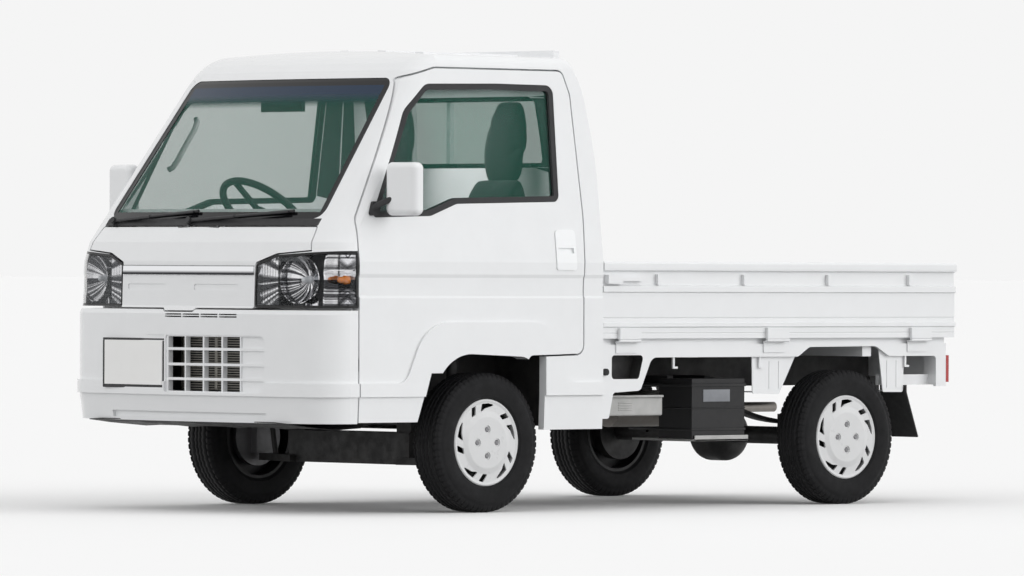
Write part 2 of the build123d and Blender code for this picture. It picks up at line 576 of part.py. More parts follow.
write("chassis_frame", chassis)

# Engine, radiator, fuel tank, battery box, exhaust
engine = along_x(outline([
    (-760, 300, 30), (-360, 300, 30), (-360, 470, 30), (-330, 585, 20), (-700, 585, 40), (-760, 500, 30)]),
    -240, 240)
engine += both(box(240, FRAME_X - FRAME_WIDTH / 2, -600, -560, 480, 520))
write("engine_block", engine)
write("radiator", box(-260, 270, -1560, -1512, 450, 730) + both(box(200, 240, -1512, FIREWALL_Y - 10, 560, 590)))
tank = along_y(outline([(-600, 290, 30), (-360, 290, 30), (-360, 455, 10), (-600, 455, 30)]), 100, 640)
tank += box(-590, -341, 300, 330, 450, FRAME_BOTTOM_Z + 40)
write("fuel_tank", tank)
battery_box = box(500, 680, 296, 577, 262, 490)
battery_box += box(FRAME_X + FRAME_WIDTH / 2, 520, 320, 350, 470, 500)
battery_box += box(FRAME_X + FRAME_WIDTH / 2, 520, 520, 550, 470, 500)
write("battery_box", battery_box)
exhaust = rod((-150, -250, 360), (-150, 640, 360), 22)
exhaust += rod((-150, 640, 360), (-150, 980, 360), 72)
exhaust += rod((-150, 980, 360), (-150, 1560, 360), 20)
for y in (48, 1340):
    exhaust += box(-160, -140, y - 10, y + 10, 360, FRAME_BOTTOM_Z + 20)
write("exhaust", exhaust)

# Rear axle with its leaf springs
SPRING_X = 400.0
axle = rod((-560, REAR_AXLE_Y, HUB_Z), (560, REAR_AXLE_Y, HUB_Z), 34)
axle += fillet(rod((-95, REAR_AXLE_Y, HUB_Z), (95, REAR_AXLE_Y, HUB_Z), 105).edges().filter_by(GeomType.CIRCLE), 60)
axle += both(rod((560, REAR_AXLE_Y, HUB_Z), (604, REAR_AXLE_Y, HUB_Z), DRUM_RADIUS))
axle += both(rod((604, REAR_AXLE_Y, HUB_Z), (655, REAR_AXLE_Y, HUB_Z), SPINDLE_RADIUS))
spring_face = outline([
    (REAR_AXLE_Y - 440, 412, 0), (REAR_AXLE_Y, 240, 900), (REAR_AXLE_Y + 440, 412, 0),
    (REAR_AXLE_Y + 440, 424, 0), (REAR_AXLE_Y, 262, 900), (REAR_AXLE_Y - 440, 424, 0)])
for x in (-SPRING_X, SPRING_X):
    axle += along_x(spring_face, x - 27, x + 27)
    axle += box(x - 30, x + 30, REAR_AXLE_Y - 45, REAR_AXLE_Y + 45, HUB_Z, 345)
    for y in (REAR_AXLE_Y - 430, REAR_AXLE_Y + 430):
        axle += box(x - 34, x + 34, y - 26, y + 26, 400, FRAME_BOTTOM_Z + 35)
        near = FRAME_X + FRAME_WIDTH / 2
        side = 1 if x > 0 else -1
        axle += box(min(side * near, x), max(side * near, x), y - 26, y + 26, FRAME_BOTTOM_Z, FRAME_BOTTOM_Z + 35)
write("rear_axle", axle)

# Front suspension: cross beam, lower arms, struts
BALL_Z = 196.0
suspension = box(-341, 341, FRONT_AXLE_Y - 60, FRONT_AXLE_Y + 60, 210, 290)
suspension += both(box(260, 341, FRONT_AXLE_Y - 50, FRONT_AXLE_Y + 50, 290, FRAME_BOTTOM_Z))
arm = extrude(Plane.XY.offset(BALL_Z - 26) * make_face(Polyline(
    [(300, FRONT_AXLE_Y - 90), (562, FRONT_AXLE_Y - 16), (576, FRONT_AXLE_Y), (562, FRONT_AXLE_Y + 16),
     (300, FRONT_AXLE_Y + 90), (300, FRONT_AXLE_Y - 90)])), 26)
suspension += both(arm) + box(-341, 341, FRONT_AXLE_Y - 60, FRONT_AXLE_Y + 60, BALL_Z - 26, 215)
STRUT_X = 512.0
struts = rod((STRUT_X, FRONT_AXLE_Y, 350), (STRUT_X, FRONT_AXLE_Y, DECK_Z), 22)
strut_stay = rod((STRUT_X, FRONT_AXLE_Y, 352), (STRUT_X - 30, FRONT_AXLE_Y, BALL_Z - 5), 10)
write("front_suspension", Compound([*suspension.solids()]) + both(struts + strut_stay))

# Knuckles and wheels
def knuckle():
    """Left knuckle: upright, brake drum and spindle."""
    upright = box(555, 592, FRONT_AXLE_Y - 34, FRONT_AXLE_Y + 34, BALL_Z + 0.3, 338)
    drum = rod((586, FRONT_AXLE_Y, HUB_Z), (610, FRONT_AXLE_Y, HUB_Z), DRUM_RADIUS)
    spindle = rod((600, FRONT_AXLE_Y, HUB_Z), (655, FRONT_AXLE_Y, HUB_Z), SPINDLE_RADIUS)
    kingpin = rod((KINGPIN_X, FRONT_AXLE_Y, 330), (KINGPIN_X, FRONT_AXLE_Y, 346), 15)
    return upright + drum + spindle + kingpin


write("knuckle_left", knuckle())
write("knuckle_right", mirror(knuckle(), Plane.YZ))


def around_x(corners):
    """Solid of revolution about the X axis from corners (x, radius from the axis, fillet)."""
    face = outline([(x, z, r) for x, z, r in corners])
    flat = Plane((0, 0, 0), x_dir=(1, 0, 0), z_dir=(0, -1, 0)) * face
    return revolve(flat, Axis.X)


def tyre():
    """Left tyre about its own centre."""
    half = TYRE_WIDTH / 2
    seat = RIM_WIDTH / 2
    return around_x([
        (-seat + 6, BEAD_RADIUS, 0), (-seat, BEAD_RADIUS + 8, 0), (-half, BEAD_RADIUS + 45, 40),
        (-half + 6, TYRE_RADIUS, 18), (half - 6, TYRE_RADIUS, 18), (half, BEAD_RADIUS + 45, 40),
        (seat, BEAD_RADIUS + 8, 0), (seat - 6, BEAD_RADIUS, 0)])


def wheel_body():
    """Left wheel about its own centre, outer side at +X."""
    half = RIM_WIDTH / 2
    barrel = around_x([
        (-half, BEAD_RADIUS - RIM_WALL, 0), (-half, BEAD_RADIUS + 8, 0), (-half + 6, BEAD_RADIUS, 0),
        (half - 6, BEAD_RADIUS, 0), (half, BEAD_RADIUS + 8, 0), (half, BEAD_RADIUS - RIM_WALL, 0)])
    disc = around_x([
        (-16, SPINDLE_RADIUS + BEARING_GAP, 0), (-16, 60, 0), (8, 90, 0), (8, BEAD_RADIUS, 0), (16, BEAD_RADIUS, 0),
        (16, 86, 0), (-8, 56, 0), (14, 44, 0), (14, SPINDLE_RADIUS + BEARING_GAP, 0)])
    cap = around_x([
        (half - 6, BEAD_RADIUS, 0), (half, CAP_RADIUS, 3), (half + 5, CAP_RADIUS - 7, 4), (half + 2, 148, 6),
        (half + 3, 118, 30), (half + 9, 96, 20), (half + 9, 0, 0), (half + 4, 0, 0), (half + 4, 92, 0),
        (half - 3, 116, 0), (half - 4, 146, 0), (half - 12, BEAD_RADIUS - 4, 0)])
    for i in range(CAP_HOLES):
        turn = 360 / CAP_HOLES * i
        for corners in (LARGE_OPENING, SMALL_OPENING):
            polar = [(a + turn, r) for a, r in corners]
            face = outline([(r * cos(radians(a)), r * sin(radians(a)), 3) for a, r in polar])
            cap -= along_x(face, half - 40, half + 40)
    for i in range(NUT_COUNT):
        spot = 2 * pi / NUT_COUNT * i
        y, z = NUT_CIRCLE * cos(spot), NUT_CIRCLE * sin(spot)
        cap -= rod((half + 5.5, y, z), (half + 20, y, z), NUT_POCKET)
    return barrel + disc + cap


left_tyre, left_wheel = tyre(), wheel_body()
for end, y in (("front", FRONT_AXLE_Y), ("rear", REAR_AXLE_Y)):
    for side, x in (("left", WHEEL_X), ("right", -WHEEL_X)):
        place = Pos(x, y, HUB_Z) * Rot(0, 0, 0 if x > 0 else 180)
        write(f"tyre_{end}_{side}", place * left_tyre)
        write(f"wheel_{end}_{side}", place * left_wheel)

# Bed: floor with grooves, sills, posts and cross sills
FLOOR_HALF = GATE_RAIL - GATE_THICKNESS - GATE_GAP
SILL_OUT = 705.0
CROSS_SILL_HALF = 684.0
BED_END_Y = HALF_LENGTH - GATE_THICKNESS - GATE_GAP
BED_FRONT_Z = BED_FLOOR_Z - 5
BED_FACE_Y = BED_FRONT_Y + 62
bed = box(-FLOOR_HALF, FLOOR_HALF, BED_FRONT_Y, BED_END_Y, 620, BED_FRONT_Z)
bed += box(-FLOOR_HALF, FLOOR_HALF, BED_FACE_Y, BED_END_Y, BED_FRONT_Z, BED_FLOOR_Z)
for y in (-180, 300, 780, 1240, 1600):
    bed += box(-CROSS_SILL_HALF, CROSS_SILL_HALF, y - 24, y + 24, FRAME_TOP_Z, 622)
POST_BOTTOM_Z = 454.0
SILL_OUTLINE = [
    (BED_FRONT_Y, 622, 0), (BED_FRONT_Y, 343, 0), (-165, 343, 12), (-142, 441, 14), (0, 448, 24),
    (60, 573, 40), (842, 573, 20), (905, 610, 40), (1270, 612, 40), (1345, 573, 20), (1606, 573, 14),
    (1606, POST_BOTTOM_Z, 0), (BED_END_Y, POST_BOTTOM_Z, 0), (BED_END_Y, 622, 0),
]
DUCT_OUTLINE = [(-151, 492, 14), (-10, 492, 14), (16, 582, 14), (-151, 582, 14)]
SILL_THICKNESS = 14.0
sill_face = outline(SILL_OUTLINE) - outline(DUCT_OUTLINE)
bed += both(along_x(sill_face, SILL_OUT - SILL_THICKNESS, SILL_OUT))
bed += both(box(640, SILL_OUT - 2, 1606, BED_END_Y, POST_BOTTOM_Z + 6, 620))
bed += both(box(650, 664, 1325, 1606, POST_BOTTOM_Z + 6, POST_BOTTOM_Z + 46))
DUCT_DEPTH = 60.0
duct = outline([(a + (4 if a > -100 else -4), z + (4 if z > 530 else -4), 16) for a, z, r in DUCT_OUTLINE])
duct_walls = along_x(duct, SILL_OUT - DUCT_DEPTH, SILL_OUT - SILL_THICKNESS)
duct_walls -= along_x(outline(DUCT_OUTLINE), SILL_OUT - DUCT_DEPTH + 4, SILL_OUT)
bed += both(duct_walls)
FLOOR_GROOVES = 10
GROOVE_WIDTH = 44.0
GROOVE_DEPTH = 4.0
for i in range(FLOOR_GROOVES):
    x = (i - (FLOOR_GROOVES - 1) / 2) * 2 * FLOOR_HALF / (FLOOR_GROOVES + 1)
    bed -= box(x - GROOVE_WIDTH / 2, x + GROOVE_WIDTH / 2, BED_FACE_Y + 40, BED_END_Y - 40,
               BED_FLOOR_Z - GROOVE_DEPTH, BED_FLOOR_Z + 10)
SILL_HOOKS = [180, 640, 1440]
for y in SILL_HOOKS:
    hook = outline([
        (y - 4, 576, 0), (y - 4, 530, 0), (y + 20, 530, 0), (y + 20, 538, 0), (y + 4, 538, 0), (y + 4, 576, 0)])
    bed += both(along_x(hook, SILL_OUT - 12, SILL_OUT - 4))
write("bed", bed)
STOP_RADIUS = 13.0
write("rubber_stops", both(rod((SILL_OUT, -188, 519), (SILL_OUT + 12, -188, 519), STOP_RADIUS)))
headboard = box(-FLOOR_HALF, FLOOR_HALF, BED_FRONT_Y, BED_FRONT_Y + 24, BED_FRONT_Z, GATE_TOP_Z)
write("headboard", headboard)

GUARD_X = 400.0
GUARD_TOP_Z = 1735.0
guard = both(box(GUARD_X - 14, GUARD_X + 14, BED_FRONT_Y + 24, BED_FRONT_Y + 56, BED_FRONT_Z, GUARD_TOP_Z))
guard += box(-GUARD_X, GUARD_X, BED_FRONT_Y + 24, BED_FRONT_Y + 52, GUARD_TOP_Z - 30, GUARD_TOP_Z)
guard += box(-GUARD_X, GUARD_X, BED_FRONT_Y + 24, BED_FRONT_Y + 48, 1240, 1264)
guard += both(box(164, 184, BED_FRONT_Y + 26, BED_FRONT_Y + 46, 1250, GUARD_TOP_Z - 10))
write("guard_frame", guard)

# Gate section from the bottom: height, and how far the outside stands in from the rail
GATE_PROFILE = [
    (645, 12), (662, 12), (664, 14), (668, 12), (686, 12), (690, 5), (703, 5), (707, 12), (720, 12), (722, 15),
    (726, 12), (818, 12), (822, 4), (843, 4), (848, 16), (898, 16), (903, 1), (910, 0), (928, 0), (GATE_TOP_Z, 5),
]


def gate_face(rail, thickness):
    """Section of a gate whose top rail's outside is at rail."""
    outer = [(rail - d, z, 0) for z, d in GATE_PROFILE]
    return outline(outer + [(rail - thickness, GATE_TOP_Z, 0), (rail - thickness, 645, 0)])


GATE_END_Y = HALF_LENGTH - 2
gate = along_y(gate_face(GATE_RAIL, GATE_THICKNESS), BED_FRONT_Y - 2, GATE_END_Y)
SIDE_HINGE_X = GATE_RAIL - 3
HINGE_SPANS = [(-132, -22), (652, 768), (1443, 1554)]
hinge_rods = None
for y0, y1 in HINGE_SPANS:
    gate += box(SIDE_HINGE_X - 9, SIDE_HINGE_X + 5, y0, y1, HINGE_Z + HINGE_RADIUS + 0.3, 684)
    piece = rod((SIDE_HINGE_X, y0, HINGE_Z), (SIDE_HINGE_X, y1, HINGE_Z), HINGE_RADIUS)
    piece += box(SILL_OUT, SIDE_HINGE_X, y0, y1, HINGE_Z - 6, HINGE_Z - 1)
    piece += box(SILL_OUT, SILL_OUT + 5, y0, y1, 590, HINGE_Z - 1)
    hinge_rods = piece if hinge_rods is None else hinge_rods + piece
for y in (76, 534, 991, 1439):
    gate += box(GATE_RAIL - 18, GATE_RAIL - 1, y - 9, y + 9, 850, 888)
gate += box(GATE_RAIL - 18, GATE_RAIL + 6, -198, -120, 852, 886)
gate += box(GATE_RAIL - 18, GATE_RAIL + 3, -125, -8, 862, 876)
write("gate_left", gate)
write("gate_right", mirror(gate, Plane.YZ))

tail_face = gate_face(HALF_LENGTH, GATE_THICKNESS)
tail_half = FLOOR_HALF
tail = along_x(outline([
    (HALF_LENGTH - d, z, 0) for z, d in GATE_PROFILE] + [
    (HALF_LENGTH - GATE_THICKNESS, GATE_TOP_Z, 0), (HALF_LENGTH - GATE_THICKNESS, 645, 0)]), -tail_half, tail_half)
TAIL_HINGE_Y = HALF_LENGTH - 3
for x in (-480, 0, 480):
    tail += box(x - 55, x + 55, TAIL_HINGE_Y - 9, TAIL_HINGE_Y + 2, HINGE_Z + HINGE_RADIUS + 0.3, 684)
    hinge_rods += rod((x - 55, TAIL_HINGE_Y, HINGE_Z), (x + 55, TAIL_HINGE_Y, HINGE_Z), HINGE_RADIUS)
    hinge_rods += box(x - 55, x + 55, BED_END_Y, TAIL_HINGE_Y, HINGE_Z - 6, HINGE_Z - 1)
write("tailgate", tail)
side_hinges = [s for s in hinge_rods.solids() if s.center().X > 600]
mirrored = [mirror(s, Plane.YZ) for s in side_hinges]
tail_hinges = [s for s in hinge_rods.solids() if s.center().X < 600]
write("gate_hinges", Compound([*side_hinges, *mirrored, *tail_hinges]))

# Rear panel, lamps, plate, flaps, guards and stops
rear_panel = box(-640, 640, 1640, BED_END_Y, POST_BOTTOM_Z + 20, 620)
write("rear_panel", rear_panel)
rear_lamps = both(box(470, 700, BED_END_Y, BED_END_Y + 22, 470, 575))
write("rear_lamps", rear_lamps)
rear_plate = box(-165, 165, BED_END_Y, BED_END_Y + 2, 480, 600)
write("number_plates", Compound([*front_plate.solids(), *rear_plate.solids()]))

MUD_X0, MUD_X1 = 560.0, 702.0
FLAP_THICKNESS = 5.0
FLAP_TOP_Z = POST_BOTTOM_Z + 5.7
flap_face = outline([
    (1441, FLAP_TOP_Z, 0), (1441, 430, 0), (1507, 255, 0), (1507 + FLAP_THICKNESS, 257, 0),
    (1441 + FLAP_THICKNESS, 432, 0), (1441 + FLAP_THICKNESS, FLAP_TOP_Z, 0)])
mud_flaps = both(along_x(flap_face, MUD_X0, MUD_X1))
write("mud_flaps", mud_flaps)
GUARD_SHEETS = [
    [(604, 600, 0), (610, 432, 8), (752, 428, 10), (838, 572, 0), (838, 600, 0)],
    [(1300, 596, 0), (1324, 433, 8), (1436, 432, 10), (1440, 596, 0)],
]
guard_outer = SILL_OUT - SILL_THICKNESS
guards = None
for corners in GUARD_SHEETS:
    sheet = along_x(outline(corners), guard_outer - 4, guard_outer)
    y_mid = sum(y for y, z, r in corners) / len(corners)
    for y in (y_mid - 26, y_mid + 26):
        sheet += box(guard_outer - 4, guard_outer + 2, y - 5, y + 5, 450, 556)
    sheet += box(guard_outer - 90, guard_outer - 4, corners[1][0] + 2, corners[2][0] - 2, 436, 440)
    guards = sheet if guards is None else guards + sheet
guards = both(guards)
write("splash_guards", guards)
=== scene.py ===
"""Dresses the kei truck: a finish for every piece, tyres with tread, lamp insides, seats and small fittings,
and the stage it stands on. Places are in metres in the vehicle's frame: +X its left, -Y its front, +Z up."""

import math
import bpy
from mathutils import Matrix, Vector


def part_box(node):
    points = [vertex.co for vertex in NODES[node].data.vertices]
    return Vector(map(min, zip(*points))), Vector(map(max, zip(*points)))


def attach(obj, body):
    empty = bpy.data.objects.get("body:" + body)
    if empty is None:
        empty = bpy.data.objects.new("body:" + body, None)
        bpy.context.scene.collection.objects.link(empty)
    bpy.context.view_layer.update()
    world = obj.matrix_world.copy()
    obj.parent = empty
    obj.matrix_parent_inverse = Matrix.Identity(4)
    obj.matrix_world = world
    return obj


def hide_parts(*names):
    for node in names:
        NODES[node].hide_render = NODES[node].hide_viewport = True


bl_info = {
    "name": "Kei truck",
    "version": (1, 0, 0),
    "blender": (4, 5, 0),
    "location": "3D View > Sidebar > Kei truck",
    "description": "Finishes, tyres, lamps, seats and stage of a small drop-side truck",
    "category": "Object",
}

import bmesh
import bpy
from bpy.props import FloatProperty, FloatVectorProperty, IntProperty, PointerProperty
from bpy.types import Operator, Panel, PropertyGroup
from mathutils import Matrix, Vector

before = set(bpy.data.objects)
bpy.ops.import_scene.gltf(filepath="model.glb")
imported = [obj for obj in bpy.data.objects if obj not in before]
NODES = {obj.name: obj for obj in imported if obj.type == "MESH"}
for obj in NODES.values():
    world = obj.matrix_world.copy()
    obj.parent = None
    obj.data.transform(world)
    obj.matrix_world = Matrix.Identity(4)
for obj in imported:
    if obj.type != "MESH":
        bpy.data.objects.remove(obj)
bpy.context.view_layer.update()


# Shader building


def new_material(name, **sockets):
    """A node material with its main shader, whose sockets are set by name with _ for each space."""
    material = bpy.data.materials.new(name)
    material.use_nodes = True
    shader = material.node_tree.nodes["Principled BSDF"]
    for socket, value in sockets.items():
        shader.inputs[socket.replace("_", " ")].default_value = value
    return material, shader


def add_node(material, kind, **values):
    """Adds a shader node and sets its sockets by name."""
    node = material.node_tree.nodes.new(kind)
    for socket, value in values.items():
        node.inputs[socket].default_value = value
    return node


def join(material, output, target):
    """Links an output socket to an input socket."""
    material.node_tree.links.new(output, target)


def place_socket(material):
    """The surface's place in the vehicle's frame, in metres."""
    return add_node(material, "ShaderNodeTexCoord").outputs["Object"]


def place_split(material):
    """The node that splits the surface's place into X, Y and Z."""
    split = add_node(material, "ShaderNodeSeparateXYZ")
    join(material, place_socket(material), split.inputs["Vector"])
    return split


def remapped(material, value, old, new=(0.0, 1.0), smooth=False):
    """A value moved from an old range to a new one."""
    ramp = add_node(material, "ShaderNodeMapRange", **{
        "From Min": old[0], "From Max": old[1], "To Min": new[0], "To Max": new[1]})
    if smooth:
        ramp.interpolation_type = "SMOOTHSTEP"
    join(material, value, ramp.inputs["Value"])
    return ramp.outputs["Result"]


def noise_factor(material, scale, detail=2.0, roughness=0.5, low=0.0, high=1.0, stretch=None):
    """A cloudy value from low to high, scale in waves per metre."""
    place = place_socket(material)
    if stretch is not None:
        mapping = add_node(material, "ShaderNodeMapping", Scale=stretch)
        join(material, place, mapping.inputs["Vector"])
        place = mapping.outputs["Vector"]
    cloud = add_node(material, "ShaderNodeTexNoise", Scale=scale, Detail=detail, Roughness=roughness)
    join(material, place, cloud.inputs["Vector"])
    return remapped(material, cloud.outputs["Fac"], (0.3, 0.7), (low, high))


def maths(material, operation, first, second, third=None):
    """A Math node on sockets or numbers."""
    node = add_node(material, "ShaderNodeMath")
    node.operation = operation
    for i, value in enumerate((first, second, third)):
        if value is None:
            continue
        if isinstance(value, (int, float)):
            node.inputs[i].default_value = value
        else:
            join(material, value, node.inputs[i])
    return node.outputs["Value"]


def mixed(material, factor, first, second):
    """A colour going over to another with a factor; each is three numbers or a socket."""
    blend = add_node(material, "ShaderNodeMix")
    blend.data_type = "RGBA"
    join(material, factor, blend.inputs["Factor"])
    for name, colour in (("A", first), ("B", second)):
        socket = [s for s in blend.inputs if s.type == "RGBA" and s.name == name][0]
        if isinstance(colour, bpy.types.NodeSocket):
            join(material, colour, socket)
        else:
            socket.default_value = (*colour, 1)
    return [s for s in blend.outputs if s.type == "RGBA"][0]


def place_parts(material):
    """X as a distance from the vehicle's middle, Y and Z of the surface's place."""
    split = place_split(material)
    return maths(material, "ABSOLUTE", split.outputs["X"], 0.0), split.outputs["Y"], split.outputs["Z"]


def tint(material, shader, factor, dark, light):
    """Base colour going from dark to light with a factor."""
    join(material, mixed(material, factor, dark, light), shader.inputs["Base Color"])


def bump(material, shader, height, strength, distance):
    """Surface relief from a height value."""
    relief = add_node(material, "ShaderNodeBump", Strength=strength, Distance=distance)
    join(material, height, relief.inputs["Height"])
    join(material, relief.outputs["Normal"], shader.inputs["Normal"])


def height_mask(material, axis, start, end):
    """0 at start and 1 at end along one axis of the vehicle's frame."""
    return remapped(material, place_split(material).outputs[axis], (start, end), smooth=True)


def scaled(colour, share):
    """A colour made darker or lighter."""
    return tuple(min(1.0, c * share) for c in colour)


# Windscreen and rear window: lowest and highest (z, half width), border's width and height of its foot, where
# (y) one goes over to the other, the border's colour, and the height over which the shade band fades
SCREEN_SIDES = ((1.088, 0.603), (1.612, 0.560), 0.027, 0.024)
REAR_SIDES = ((1.290, 0.420), (1.560, 0.405), 0.018, 0.018)
SCREEN_SPLIT = (-0.7, -0.8)
BORDER_BLACK = (0.006, 0.006, 0.007)
BAND_FADE = 0.06
# Headlamp lens: colour, foot (z), inner end (x), outer end (y) and the two lines of its top (x, z, slope)
LENS_COLOUR = (0.22, 0.23, 0.24)
LENS_FOOT_Z = 0.760
LENS_INNER_X = 0.379
LENS_OUTER_Y = -1.4565
LENS_TOPS = ((0.379, 0.920, 0.374), (0.470, 0.954, 0.060))
LENS_RIM_BLACK = (0.008, 0.008, 0.009)
# Heights where the chrome strip's painted dark reflection at its foot and head goes over to bright
STRIP_PAINTED_REFLECTION_FOOT = (0.884, 0.897)
STRIP_PAINTED_REFLECTION_HEAD = (0.9145, 0.909)

# Finishes


def body_paint(settings):
    """Solid white paint under clear coat, with a faint orange peel and faint clouds of dust all over."""
    material, shader = new_material("body_paint", Roughness=settings.roughness, Coat_Weight=1.0,
                                    Coat_Roughness=0.04)
    dust = noise_factor(material, 9.0, 4.0, 0.6, 0.0, 1.0)
    tint(material, shader, dust, scaled(settings.colour, 0.975), settings.colour)
    bump(material, shader, noise_factor(material, 260.0, 1.0), 0.04, 0.0004)
    return material


def plain_finish(name, colour, roughness, grain=420.0, relief=0.12, spread=0.82, **sockets):
    """Moulded or painted finish: fine grain, a little colour change and uneven gloss."""
    material, shader = new_material(name, **sockets)
    tint(material, shader, noise_factor(material, 14.0, 5.0, 0.6), scaled(colour, spread), colour)
    gloss = noise_factor(material, 37.0, 3.0, 0.6, roughness * 0.88, min(1.0, roughness * 1.12))
    join(material, gloss, shader.inputs["Roughness"])
    bump(material, shader, noise_factor(material, grain, 2.0), relief, 0.0005)
    return material


def metal_finish(name, colour, roughness, brush=None, relief=0.05):
    """Bare or plated metal, brushed where a stretch is given."""
    material, shader = new_material(name, Metallic=1.0)
    tint(material, shader, noise_factor(material, 30.0, 4.0, 0.6), scaled(colour, 0.88), colour)
    gloss = noise_factor(material, 60.0, 3.0, 0.6, roughness * 0.8, roughness * 1.25, brush)
    join(material, gloss, shader.inputs["Roughness"])
    bump(material, shader, noise_factor(material, 300.0, 2.0, stretch=brush), relief, 0.0003)
    return material


def chassis_black():
    """Black frame paint with road dust on it."""
    material, shader = new_material("chassis_black")
    dust = noise_factor(material, 11.0, 6.0, 0.65)
    tint(material, shader, dust, (0.012, 0.012, 0.013), (0.035, 0.034, 0.033))
    join(material, noise_factor(material, 25.0, 4.0, 0.6, 0.42, 0.7), shader.inputs["Roughness"])
    bump(material, shader, noise_factor(material, 180.0, 4.0), 0.25, 0.0008)
    return material


def thin_glass(name, colour, clear, edge):
    """Glass as a see-through sheet that turns mirror-like at a flat angle."""
    material, shader = new_material(name, Base_Color=(*colour, 1), Roughness=0.02, IOR=1.4,
                                    Coat_Weight=0.1, Coat_Roughness=0.01)
    facing = add_node(material, "ShaderNodeLayerWeight", Blend=0.32)
    alpha = remapped(material, facing.outputs["Fresnel"], (0.0, 1.0), (1.0 - clear, edge))
    join(material, alpha, shader.inputs["Alpha"])
    material.surface_render_method = "DITHERED"
    return material, shader, alpha


def screen_glass(settings):
    """Windscreen and rear window: green tinted, with a painted black border and a blue band along the top."""
    material, shader, alpha = thin_glass("screen_glass", settings.tint, settings.clear, 0.5)
    front = height_mask(material, "Y", *SCREEN_SPLIT)
    band = height_mask(material, "Z", settings.band_start, settings.band_start + BAND_FADE)
    band = maths(material, "MULTIPLY", band, front)
    across, _, height = place_parts(material)
    edges = []
    for (low_z, low_x), (high_z, high_x), width, foot in (SCREEN_SIDES, REAR_SIDES):
        slope = (high_x - low_x) / (high_z - low_z)
        reach = maths(material, "MULTIPLY_ADD", height, slope, low_x - slope * low_z - width)
        side = maths(material, "GREATER_THAN", across, reach)
        top = maths(material, "GREATER_THAN", height, high_z - width)
        bottom = maths(material, "LESS_THAN", height, low_z + foot)
        edges.append(maths(material, "MAXIMUM", maths(material, "MAXIMUM", side, top), bottom))
    border = add_node(material, "ShaderNodeMix")
    join(material, front, border.inputs["Factor"])
    join(material, edges[1], border.inputs["A"])
    join(material, edges[0], border.inputs["B"])
    painted = border.outputs["Result"]
    glass_colour = mixed(material, band, settings.tint, settings.band_colour)
    tint(material, shader, painted, glass_colour, BORDER_BLACK)
    shaded = maths(material, "MULTIPLY_ADD", band, settings.band_depth, alpha)
    join(material, maths(material, "MAXIMUM", shaded, painted), shader.inputs["Alpha"])
    return material


def lamp_chrome_painted_reflection(lamp):
    """Bright lamp inside with painted reflections: dark bands that fan out from the bowl's middle stand in
    for what its facets mirror.
    """
    material, shader = new_material("lamp_chrome_painted_reflection", Metallic=1.0, Roughness=0.12)
    x, _, z = place_parts(material)
    angle = maths(material, "ARCTAN2", maths(material, "SUBTRACT", z, lamp.bowl_z),
                  maths(material, "SUBTRACT", x, lamp.bowl_x))
    # Painted reflection: bands round the bowl's middle take the chrome's colour from dark to bright.
    painted_reflection_streaks = add_node(material, "ShaderNodeTexNoise", Scale=2.6, Detail=3.0, Roughness=0.7)
    painted_reflection_streaks.noise_dimensions = "1D"
    join(material, angle, painted_reflection_streaks.inputs["W"])
    level = remapped(material, painted_reflection_streaks.outputs["Fac"], (0.46, 0.58), smooth=True)
    tint(material, shader, level, (0.05, 0.05, 0.055), (0.95, 0.95, 0.97))
    return material


def lamp_lens(lamp):
    """Clear lens with the black rim that is painted round it."""
    material, shader, alpha = thin_glass("clear_lens", LENS_COLOUR, 0.975, 0.3)
    x, y, z = place_parts(material)
    tops = [maths(material, "MULTIPLY_ADD", x, slope, top_z - slope * top_x - lamp.rim)
            for top_x, top_z, slope in LENS_TOPS]
    rim = maths(material, "LESS_THAN", z, LENS_FOOT_Z + lamp.rim)
    for edge in (
            maths(material, "GREATER_THAN", z, maths(material, "MINIMUM", *tops)),
            maths(material, "GREATER_THAN", y, LENS_OUTER_Y - lamp.rim),
            maths(material, "LESS_THAN", x, LENS_INNER_X + lamp.rim * 0.5)):
        rim = maths(material, "MAXIMUM", rim, edge)
    tint(material, shader, rim, LENS_COLOUR, LENS_RIM_BLACK)
    join(material, maths(material, "MAXIMUM", alpha, rim), shader.inputs["Alpha"])
    return material


def strip_chrome_painted_reflection():
    """Plated strip: bright along its middle, with painted dark reflections where it rolls in at both edges.
    """
    material, shader = new_material("strip_chrome_painted_reflection", Metallic=1.0)
    foot = height_mask(material, "Z", *STRIP_PAINTED_REFLECTION_FOOT)
    head = height_mask(material, "Z", *STRIP_PAINTED_REFLECTION_HEAD)
    # Painted reflection: dark along the foot and head, bright in the middle.
    tint(material, shader, maths(material, "MULTIPLY", foot, head), (0.035, 0.036, 0.04), (0.93, 0.94, 0.96))
    join(material, noise_factor(material, 60.0, 3.0, 0.6, 0.1, 0.16), shader.inputs["Roughness"])
    return material


def weave_cloth(name, colour, thread):
    """Woven cloth, thread in metres."""
    material, shader = new_material(name, Sheen_Weight=0.1, Sheen_Roughness=0.5, Roughness=0.92)
    place = place_socket(material)
    heights = []
    for axis in ("X", "Z"):
        wave = add_node(material, "ShaderNodeTexWave", Scale=1.0 / thread / 20.0, Distortion=0.6)
        wave.wave_type = "BANDS"
        wave.bands_direction = axis
        join(material, place, wave.inputs["Vector"])
        heights.append(wave.outputs["Fac"])
    tint(material, shader, noise_factor(material, 220.0, 3.0, 0.7), scaled(colour, 0.6), colour)
    bump(material, shader, maths(material, "MULTIPLY", *heights), 0.3, 0.0004)
    return material


def lens_plastic(name, colour):
    """Clear coloured plastic of a rear lamp."""
    return plain_finish(name, colour, 0.12, 120.0, 0.2, 0.8, Coat_Weight=1.0)


def cap_lacquer(settings):
    """Silver-white lacquer of the wheel covers."""
    return plain_finish("cap_lacquer", settings.cap_colour, 0.3, 500.0, 0.03, 0.96, Coat_Weight=0.7,
                        Coat_Roughness=0.08)


# Mesh building


